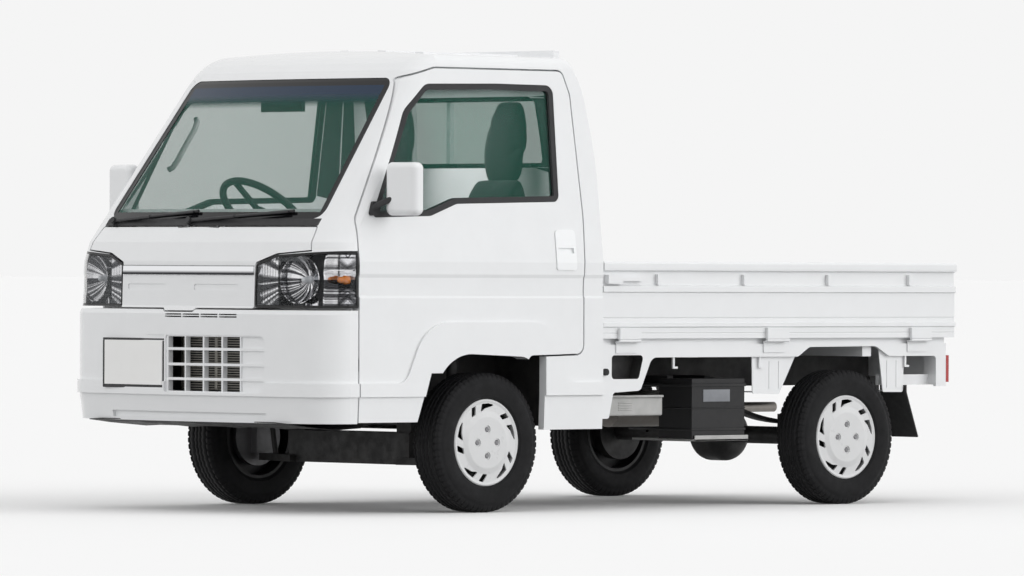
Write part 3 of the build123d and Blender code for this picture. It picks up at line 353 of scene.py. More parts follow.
def mesh_object(name, points, faces, material, body, slot, smooth=True):
    """A mesh from points and faces, riding on a body of the truck."""
    mesh = bpy.data.meshes.new(name)
    mesh.from_pydata([tuple(p) for p in points], [], faces)
    mesh.validate()
    mesh.materials.append(material)
    if smooth:
        mesh.shade_smooth()
    piece = bpy.data.objects.new(name, mesh)
    bpy.context.scene.collection.objects.link(piece)
    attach(piece, body)
    return piece


def joined(parts):
    """One list of points and one of faces from several such pairs."""
    points, faces = [], []
    for more_points, more_faces in parts:
        start = len(points)
        points.extend(more_points)
        faces.extend([[start + i for i in face] for face in more_faces])
    return points, faces


def moved(part, matrix):
    """Points and faces moved by a matrix."""
    points, faces = part
    return [matrix @ Vector(p) for p in points], faces


def rings(rows, closed_ends=True):
    """Skin over rings that all have as many points."""
    count = len(rows[0])
    points = [p for row in rows for p in row]
    faces = []
    for r in range(len(rows) - 1):
        for i in range(count):
            j = (i + 1) % count
            a, b = r * count, (r + 1) * count
            faces.append([a + i, a + j, b + j, b + i])
    if closed_ends:
        faces.append(list(reversed(range(count))))
        faces.append(list(range((len(rows) - 1) * count, len(rows) * count)))
    return points, faces


def lathe(profile, steps, closed_ends=False):
    """Turns a profile of (x, radius) about the X axis."""
    rows = []
    for x, radius in profile:
        row = []
        for i in range(steps):
            angle = 2 * math.pi * i / steps
            row.append(Vector((x, radius * math.cos(angle), radius * math.sin(angle))))
        rows.append(row)
    return rings(rows, closed_ends)


def along(path, radius, sides=10):
    """Round bar along a list of points, with closed ends."""
    rows = []
    points = [Vector(p) for p in path]
    for i, point in enumerate(points):
        way = (points[min(i + 1, len(points) - 1)] - points[max(i - 1, 0)]).normalized()
        side = way.cross(Vector((0, 0, 1)) if abs(way.z) < 0.9 else Vector((1, 0, 0))).normalized()
        up = side.cross(way).normalized()
        row = []
        for k in range(sides):
            angle = 2 * math.pi * k / sides
            row.append(point + side * radius * math.cos(angle) + up * radius * math.sin(angle))
        rows.append(row)
    return rings(rows)


def box_part(low, high, bevel=0.0, segments=2):
    """Box between two corners with rounded edges."""
    body = bmesh.new()
    bmesh.ops.create_cube(body, size=1.0)
    low, high = Vector(low), Vector(high)
    for vertex in body.verts:
        share = vertex.co + Vector((0.5, 0.5, 0.5))
        vertex.co = Vector((low[i] + (high[i] - low[i]) * share[i] for i in range(3)))
    if bevel > 0:
        bmesh.ops.bevel(body, geom=body.edges[:], offset=bevel, segments=segments, affect="EDGES",
                        profile=0.5)
    body.verts.index_update()
    part = [v.co.copy() for v in body.verts], [[v.index for v in face.verts] for face in body.faces]
    body.free()
    return part


def mirrored(part):
    """The same part on the vehicle's other side."""
    points, faces = part
    return [Vector((-p[0], p[1], p[2])) for p in points], [list(reversed(face)) for face in faces]


# Settings, one group for each kind of finish or piece


class PaintSettings(PropertyGroup):
    """Body paint."""
    colour: FloatVectorProperty(
        name="Colour", description="Colour of the body paint", subtype="COLOR", size=3, min=0, max=1,
        default=(0.80, 0.81, 0.82))
    roughness: FloatProperty(
        name="Roughness", description="Roughness under the clear coat", subtype="FACTOR", min=0, max=1,
        default=0.32)


class GlassSettings(PropertyGroup):
    """Windows."""
    tint: FloatVectorProperty(
        name="Tint", description="Colour of the glass", subtype="COLOR", size=3, min=0, max=1,
        default=(0.022, 0.125, 0.088))
    clear: FloatProperty(
        name="Clear", description="Share of light let through", subtype="FACTOR", min=0, max=1, default=0.97)
    band_colour: FloatVectorProperty(
        name="Shade band", description="Colour of the band along the windscreen's top", subtype="COLOR",
        size=3, min=0, max=1, default=(0.001, 0.018, 0.050))
    band_depth: FloatProperty(
        name="Band depth", description="Share of light that the shade band takes", subtype="FACTOR",
        min=0, max=1, default=0.96)
    band_start: FloatProperty(
        name="Band start", description="Height where the shade band begins", subtype="DISTANCE",
        unit="LENGTH", default=1.50)


class WheelSettings(PropertyGroup):
    """Tyres and wheel covers."""
    cap_colour: FloatVectorProperty(
        name="Cover colour", description="Colour of the wheel covers", subtype="COLOR", size=3, min=0, max=1,
        default=(0.66, 0.665, 0.67))
    groove_depth: FloatProperty(
        name="Groove depth", description="Depth of the tread grooves", subtype="DISTANCE", unit="LENGTH",
        min=0, max=0.012, default=0.0065)
    blocks: IntProperty(
        name="Blocks", description="Tread blocks round the tyre", min=20, max=120, default=64)
    nut_circle: FloatProperty(
        name="Nut circle", description="Radius of the ring of wheel nuts", subtype="DISTANCE", unit="LENGTH",
        default=0.049)


class LampSettings(PropertyGroup):
    """Headlamps."""
    bowl_x: FloatProperty(
        name="Bowl middle", description="Distance of the reflector's middle from the vehicle's middle",
        subtype="DISTANCE", unit="LENGTH", default=0.578)
    bowl_z: FloatProperty(
        name="Bowl height", description="Height of the reflector's middle", subtype="DISTANCE", unit="LENGTH",
        default=0.863)
    bowl_radius: FloatProperty(
        name="Bowl radius", description="Radius of the reflector's mouth", subtype="DISTANCE", unit="LENGTH",
        default=0.088)
    rim: FloatProperty(
        name="Rim", description="Width of the black rim round the lens", subtype="DISTANCE", unit="LENGTH",
        default=0.009)


class SeatSettings(PropertyGroup):
    """Seats."""
    colour: FloatVectorProperty(
        name="Colour", description="Colour of the seat cloth", subtype="COLOR", size=3, min=0, max=1,
        default=(0.016, 0.017, 0.019))
    crown: FloatProperty(
        name="Crown", description="How far the pads swell", subtype="DISTANCE", unit="LENGTH",
        min=0, max=0.04, default=0.012)
    pressure: FloatProperty(
        name="Pressure", description="Pressure that swells the pads", min=0, max=20, default=4)
    voxel: FloatProperty(
        name="Cell", description="Size of the even cells that the cloth is divided into", subtype="DISTANCE",
        unit="LENGTH", min=0.004, max=0.02, default=0.0075)


class StageSettings(PropertyGroup):
    """Floor, light and camera."""
    floor_colour: FloatVectorProperty(
        name="Floor colour", description="Colour that the camera sees on floor and backdrop", subtype="COLOR",
        size=3, min=0, max=1, default=(0.913, 0.913, 0.913))
    sky: FloatProperty(name="Sky", description="Strength of the even light", min=0, max=4, default=0.85)
    key: FloatProperty(name="Key", description="Strength of the side lamp", min=0, max=10, default=1.9)
    key_side: FloatProperty(
        name="Key side", description="Bearing of the side lamp, in degrees from the front towards the left",
        min=-180, max=180, default=125)
    fill: FloatProperty(name="Fill", description="Strength of the front lamp", min=0, max=10, default=0.75)
    fill_side: FloatProperty(
        name="Fill side", description="Bearing of the front lamp, in degrees from the front towards the left",
        min=-180, max=180, default=-5)
    cabin: FloatProperty(
        name="Cabin", description="Power of the soft lamp inside the cab", min=0, max=20,
        default=13)
    lamp_height: FloatProperty(
        name="Lamp height", description="Height of both lamps over the horizon, in degrees", min=0, max=90,
        default=12)
    floor_glow: FloatProperty(
        name="Floor glow", description="Brightness that the floor shows on top of its light", min=0, max=1,
        default=0.037)


def settings():
    """All settings of the scene."""
    return bpy.context.scene.kei_truck


def dress(material, *names):
    """Gives CAD nodes one finish."""
    for name in names:
        mesh = NODES[name].data
        mesh.materials.clear()
        mesh.materials.append(material)


def dress_where(name, material, chosen):
    """Gives the faces of a CAD node whose middles are chosen a finish of their own."""
    mesh = NODES[name].data
    mesh.materials.append(material)
    index = len(mesh.materials) - 1
    for face in mesh.polygons:
        if chosen(face.center, face.normal):
            face.material_index = index


# Where the body colour ends: top of the floor's underside, top and front of the arch, face of the sill, and
# the duct's corners (y, z)
FLOOR_TOP_Z = 0.6145
ARCH_TOP_Z = 0.58
ARCH_FRONT_Y = -1.1
SILL_FACE_X = 0.7035
DUCT_LOW = (-0.14, 0.478)
DUCT_HIGH = (0.055, 0.588)


class TRUCK_OT_body(Operator):
    """Paint the cab, doors, bed and gates"""
    bl_idname = "truck.body"
    bl_label = "Body paint"

    def execute(self, context):
        paint = body_paint(settings().paint)
        dress(paint, "roof_panel", "back_panel", "side_frames", "door_left", "door_right", "front_lid",
              "cab_floor", "bulkhead", "bed", "headboard", "guard_frame", "gate_left", "gate_right",
              "tailgate", "gate_hinges", "rear_panel", "splash_guards", "front_bumper", "bumper_grille",
              "door_mirror_left", "door_mirror_right")
        under = chassis_black()
        (duct_low_y, duct_low_z), (duct_high_y, duct_high_z) = DUCT_LOW, DUCT_HIGH
        dress_where("cab_floor", under, lambda place, way: place.z < FLOOR_TOP_Z and way.z < 0.5)
        dress_where("side_frames", under, lambda place, way: place.z < ARCH_TOP_Z and place.y > ARCH_FRONT_Y
                    and way.z < -0.2)
        dress_where("bed", under, lambda place, way: abs(place.x) < SILL_FACE_X
                    and duct_low_y < place.y < duct_high_y and duct_low_z < place.z < duct_high_z)
        return {"FINISHED"}


class TRUCK_OT_glass(Operator):
    """Glaze the windows and lamps"""
    bl_idname = "truck.glass"
    bl_label = "Glass"

    def execute(self, context):
        glass = settings().glass
        dress(screen_glass(glass), "fixed_glass")
        door_glass, _, _ = thin_glass("door_glass", glass.tint, glass.clear + 0.005, 0.5)
        dress(door_glass, "door_glass_left", "door_glass_right")
        dress(lamp_lens(settings().lamps), "headlamp_lenses")
        return {"FINISHED"}


# Door handle (y and top), mirror arm (back and top), mirror glass (front), the lining's outer face, the deck,
# the door opening's end, the rear window's half width and foot, and the back panel's front
HANDLE_YS = (-0.461, -0.357)
HANDLE_TOP_Z = 1.06
ARM_BACK_Y = -1.335
ARM_TOP_Z = 1.16
MIRROR_BACK_Y = -1.28
LINING_X = 0.668
DECK_Z = 0.62
DOOR_END_Y = -0.4
WINDOW_HALF = 0.44
WINDOW_FOOT_Z = 0.9
PANEL_BACK_Y = -0.29
# Front plate: corners (x, z), the width of the black frame round it that stands for its painted shadow, front
# and depth
PLATE_LOW = (-0.437, 0.470)
PLATE_HIGH = (-0.107, 0.635)
PLATE_SHADOW_FRAME = 0.013
PLATE_Y = -1.6845
PLATE_DEEP = 0.012


class TRUCK_OT_trim(Operator):
    """Finish the black and grey trim, plates and rear lamps, with a black frame round the front plate as
    painted shadow
    """
    bl_idname = "truck.trim"
    bl_label = "Trim"

    def execute(self, context):
        black = plain_finish("black_plastic", (0.022, 0.022, 0.024), 0.5)
        dress(black, "cowl_cover", "door_fittings_left", "door_fittings_right", "steering_wheel",
              "cab_fittings", "headlamps")
        paint = bpy.data.materials["body_paint"]
        silver = metal_finish("mirror_silver", (0.86, 0.87, 0.88), 0.03, relief=0.0)
        lining = plain_finish("cab_lining", (0.045, 0.047, 0.05), 0.7)
        for side, sign in (("left", 1), ("right", -1)):
            mirror = f"door_mirror_{side}"
            dress_where(f"door_fittings_{side}", paint, lambda place, way: place.z < HANDLE_TOP_Z
                        and HANDLE_YS[0] < place.y < HANDLE_YS[1])
            dress_where(mirror, black, lambda place, way: place.y < ARM_BACK_Y and place.z < ARM_TOP_Z)
            dress_where(mirror, silver, lambda place, way: way.y > 0.97 and place.y > MIRROR_BACK_Y)
            dress_where(f"door_{side}", lining, lambda place, way: way.x * sign < -0.6
                        and place.x * sign < LINING_X and place.z > DECK_Z)
        dress(plain_finish("grey_plastic", (0.035, 0.036, 0.038), 0.62), "dashboard")
        dress_where("side_frames", lining, lambda place, way: way.x * place.x < 0 and abs(way.x) > 0.6
                    and place.y > DOOR_END_Y and place.z > DECK_Z)
        dress_where("back_panel", lining, lambda place, way: way.y < -0.6 and abs(place.x) > WINDOW_HALF
                    and place.z > WINDOW_FOOT_Z and place.y > PANEL_BACK_Y)
        # The chrome strip carries painted dark reflections along its edges.
        dress(strip_chrome_painted_reflection(), "lid_trim")
        dress(plain_finish("plate_paint", (0.87, 0.87, 0.86), 0.35, 300.0, 0.03, 0.98), "number_plates")
        dress(lens_plastic("red_lens", (0.42, 0.012, 0.012)), "rear_lamps")
        dress(plain_finish("flap_rubber", (0.02, 0.02, 0.021), 0.72, 260.0, 0.2), "mud_flaps", "rubber_stops")
        # Painted shadow: a black frame round the front plate, wider under it than over it, stands where its
        # edges cast shade.
        ring = []
        (low_x, low_z), (high_x, high_z), wide = PLATE_LOW, PLATE_HIGH, PLATE_SHADOW_FRAME
        for start_x, start_z, end_x, end_z in (
                (low_x - wide, low_z - wide, high_x + wide, low_z),
                (low_x - wide, high_z, high_x + wide, high_z + wide * 0.6),
                (low_x - wide, low_z, low_x, high_z),
                (high_x, low_z, high_x + wide, high_z)):
            ring.append(box_part((start_x, PLATE_Y, start_z), (end_x, PLATE_Y + PLATE_DEEP, end_z), 0.002))
        mesh_object("plate_shadow_frame", *joined(ring), black, "root", "frame_black", smooth=False)
        return {"FINISHED"}


# Headlamp insides: back of the bowl, its edge, front of the flutes, and place of the indicator's bulb
BOWL_BACK_Y = -1.548
BOWL_EDGE = 0.004
FLUTES_Y = -1.635
INDICATOR_X = 0.702
INDICATOR_YS = (-1.535, -1.485)
# Rear lamps: width, margin over and under the fields, and each field's colour and ends as shares of the width
REAR_LAMP_WIDTH = 0.26
REAR_MARGIN = 0.012
REAR_FIELDS = (("reversing", "white_lens", (0.62, 0.62, 0.60), (0.05, 0.24)),
               ("turn", "amber_lens", (0.62, 0.16, 0.01), (0.28, 0.5)))


def bulb_part(front, back, radius, steps=20):
    """Bulb with a domed front, lying along the Y axis from its back to its front."""
    length = back - front
    profile = [(0.0, 0.0005)]
    profile += [(radius * (1 - math.cos(a)), radius * math.sin(a)) for a in (0.35, 0.7, 1.1, 1.57)]
    profile += [(length * 0.55, radius), (length * 0.6, radius * 1.35), (length, radius * 1.35)]
    points, faces = lathe(profile, steps, True)
    return [Vector((p.y, front + p.x, p.z)) for p in points], faces


class TRUCK_OT_lamps(Operator):
    """Fill the headlamps and colour the rear lamps"""
    bl_idname = "truck.lamps"
    bl_label = "Lamps"

    def execute(self, context):
        lamp = settings().lamps
        reach = lamp.bowl_radius + BOWL_EDGE

        def bright(place, way):
            """Whether a face lies in the bowl, the indicator's box or the flutes."""
            from_bowl = math.hypot(abs(place.x) - lamp.bowl_x, place.z - lamp.bowl_z)
            in_bowl = from_bowl < reach and place.y < BOWL_BACK_Y
            side_box = abs(place.x) > lamp.bowl_x + reach
            flutes = abs(place.x) < lamp.bowl_x - lamp.bowl_radius and place.y > FLUTES_Y
            return in_bowl or side_box or flutes

        # The chosen faces get chrome with painted reflections fanning from the bowl's middle.
        dress_where("headlamps", lamp_chrome_painted_reflection(lamp), bright)
        clear = plain_finish("bulb_glass", (0.75, 0.78, 0.82), 0.08, relief=0.0, Coat_Weight=1.0)
        amber = plain_finish("amber_bulb", (0.75, 0.22, 0.02), 0.15, relief=0.02, Coat_Weight=1.0)
        for side, sign in (("left", 1), ("right", -1)):
            main_bulb = moved(bulb_part(BOWL_BACK_Y - 0.05, BOWL_BACK_Y, 0.011),
                              Matrix.Translation((sign * lamp.bowl_x, 0, lamp.bowl_z)))
            mesh_object(f"main_bulb_{side}", *main_bulb, clear, "root", "lens")
            turn_bulb = moved(bulb_part(*INDICATOR_YS, 0.012),
                              Matrix.Translation((sign * INDICATOR_X, 0, lamp.bowl_z)))
            mesh_object(f"indicator_bulb_{side}", *turn_bulb, amber, "root", "red_lens")
        lenses = [(name, lens_plastic(finish, colour), shares)
                  for name, finish, colour, shares in REAR_FIELDS]
        low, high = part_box("rear_lamps")
        for side, sign in (("left", 1), ("right", -1)):
            for name, finish, shares in lenses:
                ends = [sign * (high.x - share * REAR_LAMP_WIDTH) for share in shares]
                part = box_part((min(ends), high.y - 0.004, low.z + REAR_MARGIN),
                                (max(ends), high.y + 0.0015, high.z - REAR_MARGIN), 0.0015)
                mesh_object(f"{name}_lens_{side}", *part, finish, "root", "red_lens")
        return {"FINISHED"}


# Condenser behind the grille: sides (x), foot and head (z), front (y), number and half thickness of its fins
CONDENSER = (-0.080, 0.300, 0.452, 0.650)
CONDENSER_Y = -1.612
CONDENSER_FINS = 22
FIN_HALF = 0.0016
# Shield under the nose: half width, y and z of its rows, its cells on each side, ribs and sheet
SHIELD_ROWS = ((0.56, -1.655, 0.338), (0.55, -1.56, 0.326), (0.53, -1.40, 0.312), (0.50, -1.24, 0.318),
               (0.48, -1.13, 0.345))
SHIELD_CELLS = 8
SHIELD_RIB = 0.004
SHIELD_SHEET = 0.003
# Battery: each band's height over the box's foot or under its top, its own height and how far it stands out
BATTERY_BANDS = (("top", -0.040, 0.012, 0.005), ("top", -0.125, 0.006, 0.003), ("foot", 0.030, 0.010, 0.004))
LABEL_LOW = (0.355, 0.402)
LABEL_HIGH = (0.498, 0.449)
# Pressed panel behind the bed's leg: corners of plate and lip, and its louvres
PANEL_PLATE = ((0.655, -0.172, 0.352), (0.672, 0.149, 0.427))
PANEL_LIP = ((0.668, -0.168, 0.421), (0.682, 0.146, 0.430))
LOUVRES = 4
LOUVRE_Z = 0.372
LOUVRE_STEP = 0.009


def condenser_part():
    """Fins between three uprights."""
    left, right, foot, head = CONDENSER
    parts = []
    for i in range(CONDENSER_FINS):
        z = foot + (head - foot) * (i + 0.5) / CONDENSER_FINS
        parts.append(box_part((left, CONDENSER_Y, z - FIN_HALF), (right, CONDENSER_Y + 0.018, z + FIN_HALF)))
    for x in (left, (left + right) / 2, right):
        parts.append(box_part((x - 0.008, CONDENSER_Y + 0.003, foot), (x + 0.008, CONDENSER_Y + 0.021, head),
                              0.003))
    return joined(parts)


def shield_part():
    """Bent sheet with ribs along it."""
    points = []
    for half, y, z in SHIELD_ROWS:
        for i in range(-SHIELD_CELLS, SHIELD_CELLS + 1):
            rib = SHIELD_RIB if i % 4 == 0 else 0.0
            points.append(Vector((half * i / SHIELD_CELLS, y, z - rib)))
    count = 2 * SHIELD_CELLS + 1
    faces = []
    for row in range(len(SHIELD_ROWS) - 1):
        for i in range(count - 1):
            a = row * count + i
            faces.append([a, a + count, a + count + 1, a + 1])
    return points, faces


def panel_part():
    """Pressed panel with a lip and louvres, on the left."""
    parts = [box_part(*PANEL_PLATE, 0.006, 3), box_part(*PANEL_LIP, 0.003)]
    for i in range(LOUVRES):
        z = LOUVRE_Z + i * LOUVRE_STEP
        parts.append(box_part((0.670, -0.085, z), (0.6745, -0.012, z + 0.004), 0.0015))
    return joined(parts)


class TRUCK_OT_chassis(Operator):
    """Finish the frame, axles, engine and exhaust, and build the small parts hung on them"""
    bl_idname = "truck.chassis"
    bl_label = "Chassis"

    def execute(self, context):
        under = bpy.data.materials["chassis_black"]
        dress(under, "chassis_frame", "rear_axle", "front_suspension", "radiator", "fuel_tank")
        dress(metal_finish("cast_metal", (0.22, 0.22, 0.225), 0.5, relief=0.5), "engine_block",
              "knuckle_left", "knuckle_right")
        dress(metal_finish("exhaust_steel", (0.3, 0.28, 0.26), 0.42, (1.0, 0.05, 1.0), 0.15), "exhaust")
        fin_metal = metal_finish("fin_metal", (0.34, 0.33, 0.30), 0.45)
        mesh_object("condenser", *condenser_part(), fin_metal, "root", "frame_black", smooth=False)
        shield = mesh_object("under_shield", *shield_part(), under, "root", "frame_black")
        shield.modifiers.new("thick", "SOLIDIFY").thickness = SHIELD_SHEET

        plastic = plain_finish("battery_case", (0.010, 0.010, 0.011), 0.45, 300.0, 0.1)
        dress(plastic, "battery_box")
        low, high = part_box("battery_box")
        bands = []
        for end, rise, tall, out in BATTERY_BANDS:
            z = (high.z if end == "top" else low.z) + rise
            bands.append(box_part((low.x - out, low.y - out, z), (high.x + out, high.y + out, z + tall),
                                  0.002))
        mesh_object("battery_bands", *joined(bands), plastic, "root", "frame_black")
        label = box_part((high.x - 0.002, *LABEL_LOW), (high.x + 0.0025, *LABEL_HIGH), 0.0022, 3)
        label_grey = plain_finish("label_grey", (0.24, 0.25, 0.27), 0.5)
        mesh_object("battery_label", *label, label_grey, "root", "frame_black")
        foot = low.z - 0.010
        start, end = low.y + 0.01, high.y + 0.014
        edge = high.x + 0.008
        tray = [box_part((low.x, start, foot), (edge, end, low.z - 0.001), 0.002),
                box_part((high.x + 0.003, start, foot), (edge, end, low.z + 0.012), 0.002)]
        grey = plain_finish("bracket_paint", (0.46, 0.46, 0.45), 0.5)
        mesh_object("battery_tray", *joined(tray), grey, "root", "frame_black", smooth=False)
        panels = joined([panel_part(), mirrored(panel_part())])
        mesh_object("side_panels", *panels, grey, "root", "frame_black", smooth=False)
        return {"FINISHED"}


# Side of the tyre from the bead to the shoulder, as share of half the width and share of the section's height
SIDE_WALL = [
    (0.80, 0.015), (0.85, 0.07), (0.905, 0.13), (0.925, 0.135), (0.93, 0.165), (0.955, 0.24), (0.985, 0.36),
    (1.0, 0.47), (0.997, 0.58), (0.975, 0.70), (0.968, 0.705), (0.955, 0.76), (0.93, 0.85), (0.895, 0.91),
    (0.885, 0.912), (0.84, 0.955),
]
TREAD_GROOVES = (0.27, 0.64)
GROOVE_SHARE = 0.035
STEPS_PER_BLOCK = 8
# Where the zigzag ends and the shoulder's notches lie, as shares of the half width, and the notches' depth
ZIGZAG_END = 0.72
NOTCHES = (0.765, 0.97)
NOTCH_SHARE = 0.75
BEAD_RADIUS = 0.157


def tyre_part(radius, half, wheel):
    """A tyre about the X axis: ribs with zigzag grooves, notched shoulders and stepped side walls."""
    rise = radius - BEAD_RADIUS
    side = [(x * half, BEAD_RADIUS + z * rise, 0.0) for x, z in SIDE_WALL]
    tread = []
    marks = [-g for g in reversed(TREAD_GROOVES)] + [0.0] + list(TREAD_GROOVES)
    for mark in marks:
        for step, depth in ((-1.25, 0.0), (-1.0, 1.0), (1.0, 1.0), (1.25, 0.0)):
            tread.append(((mark + step * GROOVE_SHARE) * half, radius - 0.0012 * mark ** 2, depth))
    edge = [(-0.80 * half, radius - 0.0012, 0.0), (-0.765 * half, radius - 0.0009, 0.0)]
    profile = [(-x, r, d) for x, r, d in side] + edge + tread + [(-x, r, d) for x, r, d in reversed(edge)]
    profile += list(reversed(side))
    steps = wheel.blocks * STEPS_PER_BLOCK
    rows = []
    for x, r, depth in profile:
        row = []
        shoulder = abs(x) / half
        for i in range(steps):
            angle = 2 * math.pi * i / steps
            phase = (i % STEPS_PER_BLOCK) / STEPS_PER_BLOCK
            zigzag = (abs(phase - 0.5) * 4 - 1) * 0.0022
            here = x + (zigzag if shoulder < ZIGZAG_END else 0.0)
            low = r - depth * wheel.groove_depth
            notched = NOTCHES[0] <= shoulder < NOTCHES[1] and r > radius - 0.019
            if notched and i % STEPS_PER_BLOCK in (0, 1):
                low -= wheel.groove_depth * NOTCH_SHARE
            row.append(Vector((here, low * math.cos(angle), low * math.sin(angle))))
        rows.append(row)
    rows.append([Vector((p.x * 0.98, p.y * 0.985, p.z * 0.985)) for p in rows[-1]])
    rows.insert(0, [Vector((p.x * 0.98, p.y * 0.985, p.z * 0.985)) for p in rows[0]])
    points, faces = rings(rows, False)
    last = (len(rows) - 1) * steps
    for i in range(steps):
        j = (i + 1) % steps
        faces.append([last + i, last + j, j, i])
    return points, faces


class TRUCK_OT_tyres(Operator):
    """Build the tyres with their tread and finish the wheels"""
    bl_idname = "truck.tyres"
    bl_label = "Wheels and tyres"

    def execute(self, context):
        wheel = settings().wheels
        rubber = plain_finish("tyre_rubber", (0.011, 0.011, 0.012), 0.62, 350.0, 0.15, 0.6,
                              Specular_IOR_Level=0.22)
        nut_steel = metal_finish("nut_steel", (0.30, 0.30, 0.31), 0.28)
        wheel_steel = plain_finish("wheel_steel", (0.020, 0.020, 0.021), 0.5)
        lacquer = cap_lacquer(wheel)
        for name in ("front_left", "front_right", "rear_left", "rear_right"):
            low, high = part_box(f"tyre_{name}")
            centre = (low + high) / 2
            body = f"wheel_{name}"
            part = tyre_part((high.z - low.z) / 2, (high.x - low.x) / 2, wheel)
            part = moved(part, Matrix.Translation(centre))
            tyre = mesh_object(f"tread_{name}", *part, rubber, body, "tyre")
            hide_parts(f"tyre_{name}")
            dress(lacquer, body)
            side = 1 if centre.x > 0 else -1
            face_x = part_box(body)[1].x if side > 0 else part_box(body)[0].x
            dress_where(body, wheel_steel, lambda place, way: (face_x - place.x) * side > 0.034
                        or way.x * side < -0.2)
            nuts = []
            for i in range(4):
                angle = math.pi / 2 * i
                spot = Vector((face_x - side * 0.012, centre.y + wheel.nut_circle * math.cos(angle),
                               centre.z + wheel.nut_circle * math.sin(angle)))
                nut = lathe([(0.0, 0.0105), (0.010 * side, 0.0105), (0.0125 * side, 0.008)], 6, True)
                nuts.append(moved(nut, Matrix.Translation(spot)))
            mesh_object(f"nuts_{name}", *joined(nuts), nut_steel, body, "wheel_cap", smooth=False)
        return {"FINISHED"}


PAD_CELLS = (34, 30)
SQUARE = 5.0


def pad_part(width, length, thickness, crown, taper, corner):
    """A crowned pad in its own frame: X across, Y along, Z up. It narrows by the taper towards its far end,
    and its ends are rounder the lower the corner is, down from square."""
    across, down = PAD_CELLS
    tops, bottoms = [], []
    for j in range(down + 1):
        v = j / down * 2 - 1
        for i in range(across + 1):
            u = i / across * 2 - 1
            edge = (1 - abs(u) ** 5) ** 0.5 * (1 - abs(v) ** 5) ** 0.5
            bend = (1 - v * v / 2) ** (0.5 * SQUARE / corner) if corner < SQUARE else 1.0
            pull = 1 - 0.035 * (1 - edge)
            swell = crown * (1 - u * u) * (1 - v * v)
            narrow = 1 + (taper - 1) * (v + 1) / 2
            x, y = u * width / 2 * pull * narrow * bend, v * length / 2 * pull
            tops.append(Vector((x, y, (thickness / 2 + swell) * edge)))
            bottoms.append(Vector((x, y, -thickness / 2 * edge)))
    count = across + 1
    faces = []
    size = len(tops)
    for j in range(down):
        for i in range(across):
            a = j * count + i
            faces.append([a, a + 1, a + 1 + count, a + count])
            faces.append([size + a, size + a + count, size + a + 1 + count, size + a + 1])
    return tops + bottoms, faces


def welded(piece, distance):
    """Joins the points that lie together, so that a mesh is closed."""
    body = bmesh.new()
    body.from_mesh(piece.data)
    bmesh.ops.remove_doubles(body, verts=body.verts, dist=distance)
    bmesh.ops.recalc_face_normals(body, faces=body.faces)
    body.to_mesh(piece.data)
    body.free()


def final_mesh(piece):
    """Applies a piece's modifiers to its mesh."""
    graph = bpy.context.evaluated_depsgraph_get()
    mesh = bpy.data.meshes.new_from_object(piece.evaluated_get(graph), depsgraph=graph)
    piece.modifiers.clear()
    piece.data = mesh


SWELL_FRAMES = 20


def plumped(pad, seat):
    """Swells a pad by cloth simulation, with a cap on how far each point moves."""
    remesh = pad.modifiers.new("even", "REMESH")
    remesh.mode = "VOXEL"
    remesh.voxel_size = seat.voxel
    final_mesh(pad)
    before = [v.co.copy() for v in pad.data.vertices]
    cloth = pad.modifiers.new("swell", "CLOTH")
    cloth.settings.quality = 4
    cloth.settings.use_pressure = True
    cloth.settings.uniform_pressure_force = seat.pressure
    cloth.settings.effector_weights.gravity = 0
    cloth.point_cache.frame_start = 1
    cloth.point_cache.frame_end = SWELL_FRAMES
    scene = bpy.context.scene
    for step in range(1, SWELL_FRAMES + 1):
        scene.frame_set(step)
    final_mesh(pad)
    scene.frame_set(1)
    for vertex, start in zip(pad.data.vertices, before):
        shift = vertex.co - start
        if shift.length > seat.crown:
            vertex.co = start + shift.normalized() * seat.crown


def sewn(pad, matrix, width, seams, depth):
    """Presses sewn channels into a pad; seams are places across, as shares of its half width."""
    back = matrix.inverted()
    normals = [v.normal.copy() for v in pad.data.vertices]
    for vertex, normal in zip(pad.data.vertices, normals):
        across = (back @ vertex.co).x / (width / 2)
        press = sum(math.exp(-((across - seam) / 0.028) ** 2) for seam in seams)
        vertex.co -= normal * depth * min(1.0, press)


# Pads of one seat: name, width, length, thickness, (y, z) of the middle, lean, seams across, taper and corner
PADS = [
    ("cushion", 0.41, 0.48, 0.105, (-0.595, 0.735), -2.0, (-0.6, 0.6), 1.0, SQUARE),
    ("backrest", 0.41, 0.47, 0.080, (-0.404, 1.030), 81.5, (-0.6, 0.6), 0.90, 4.0),
    ("headrest", 0.245, 0.33, 0.058, (-0.336, 1.383), 83.0, (), 0.80, 3.0),
]
# Assist grip down the right pillar, and where a headrest's bars stand on each side of the seat's middle
GRIP_PATH = [
    (-0.586, -1.110, 1.470), (-0.572, -1.118, 1.458), (-0.566, -1.135, 1.430), (-0.572, -1.180, 1.362),
    (-0.578, -1.212, 1.308), (-0.588, -1.226, 1.284), (-0.603, -1.232, 1.276),
]
BAR_APART = 0.05


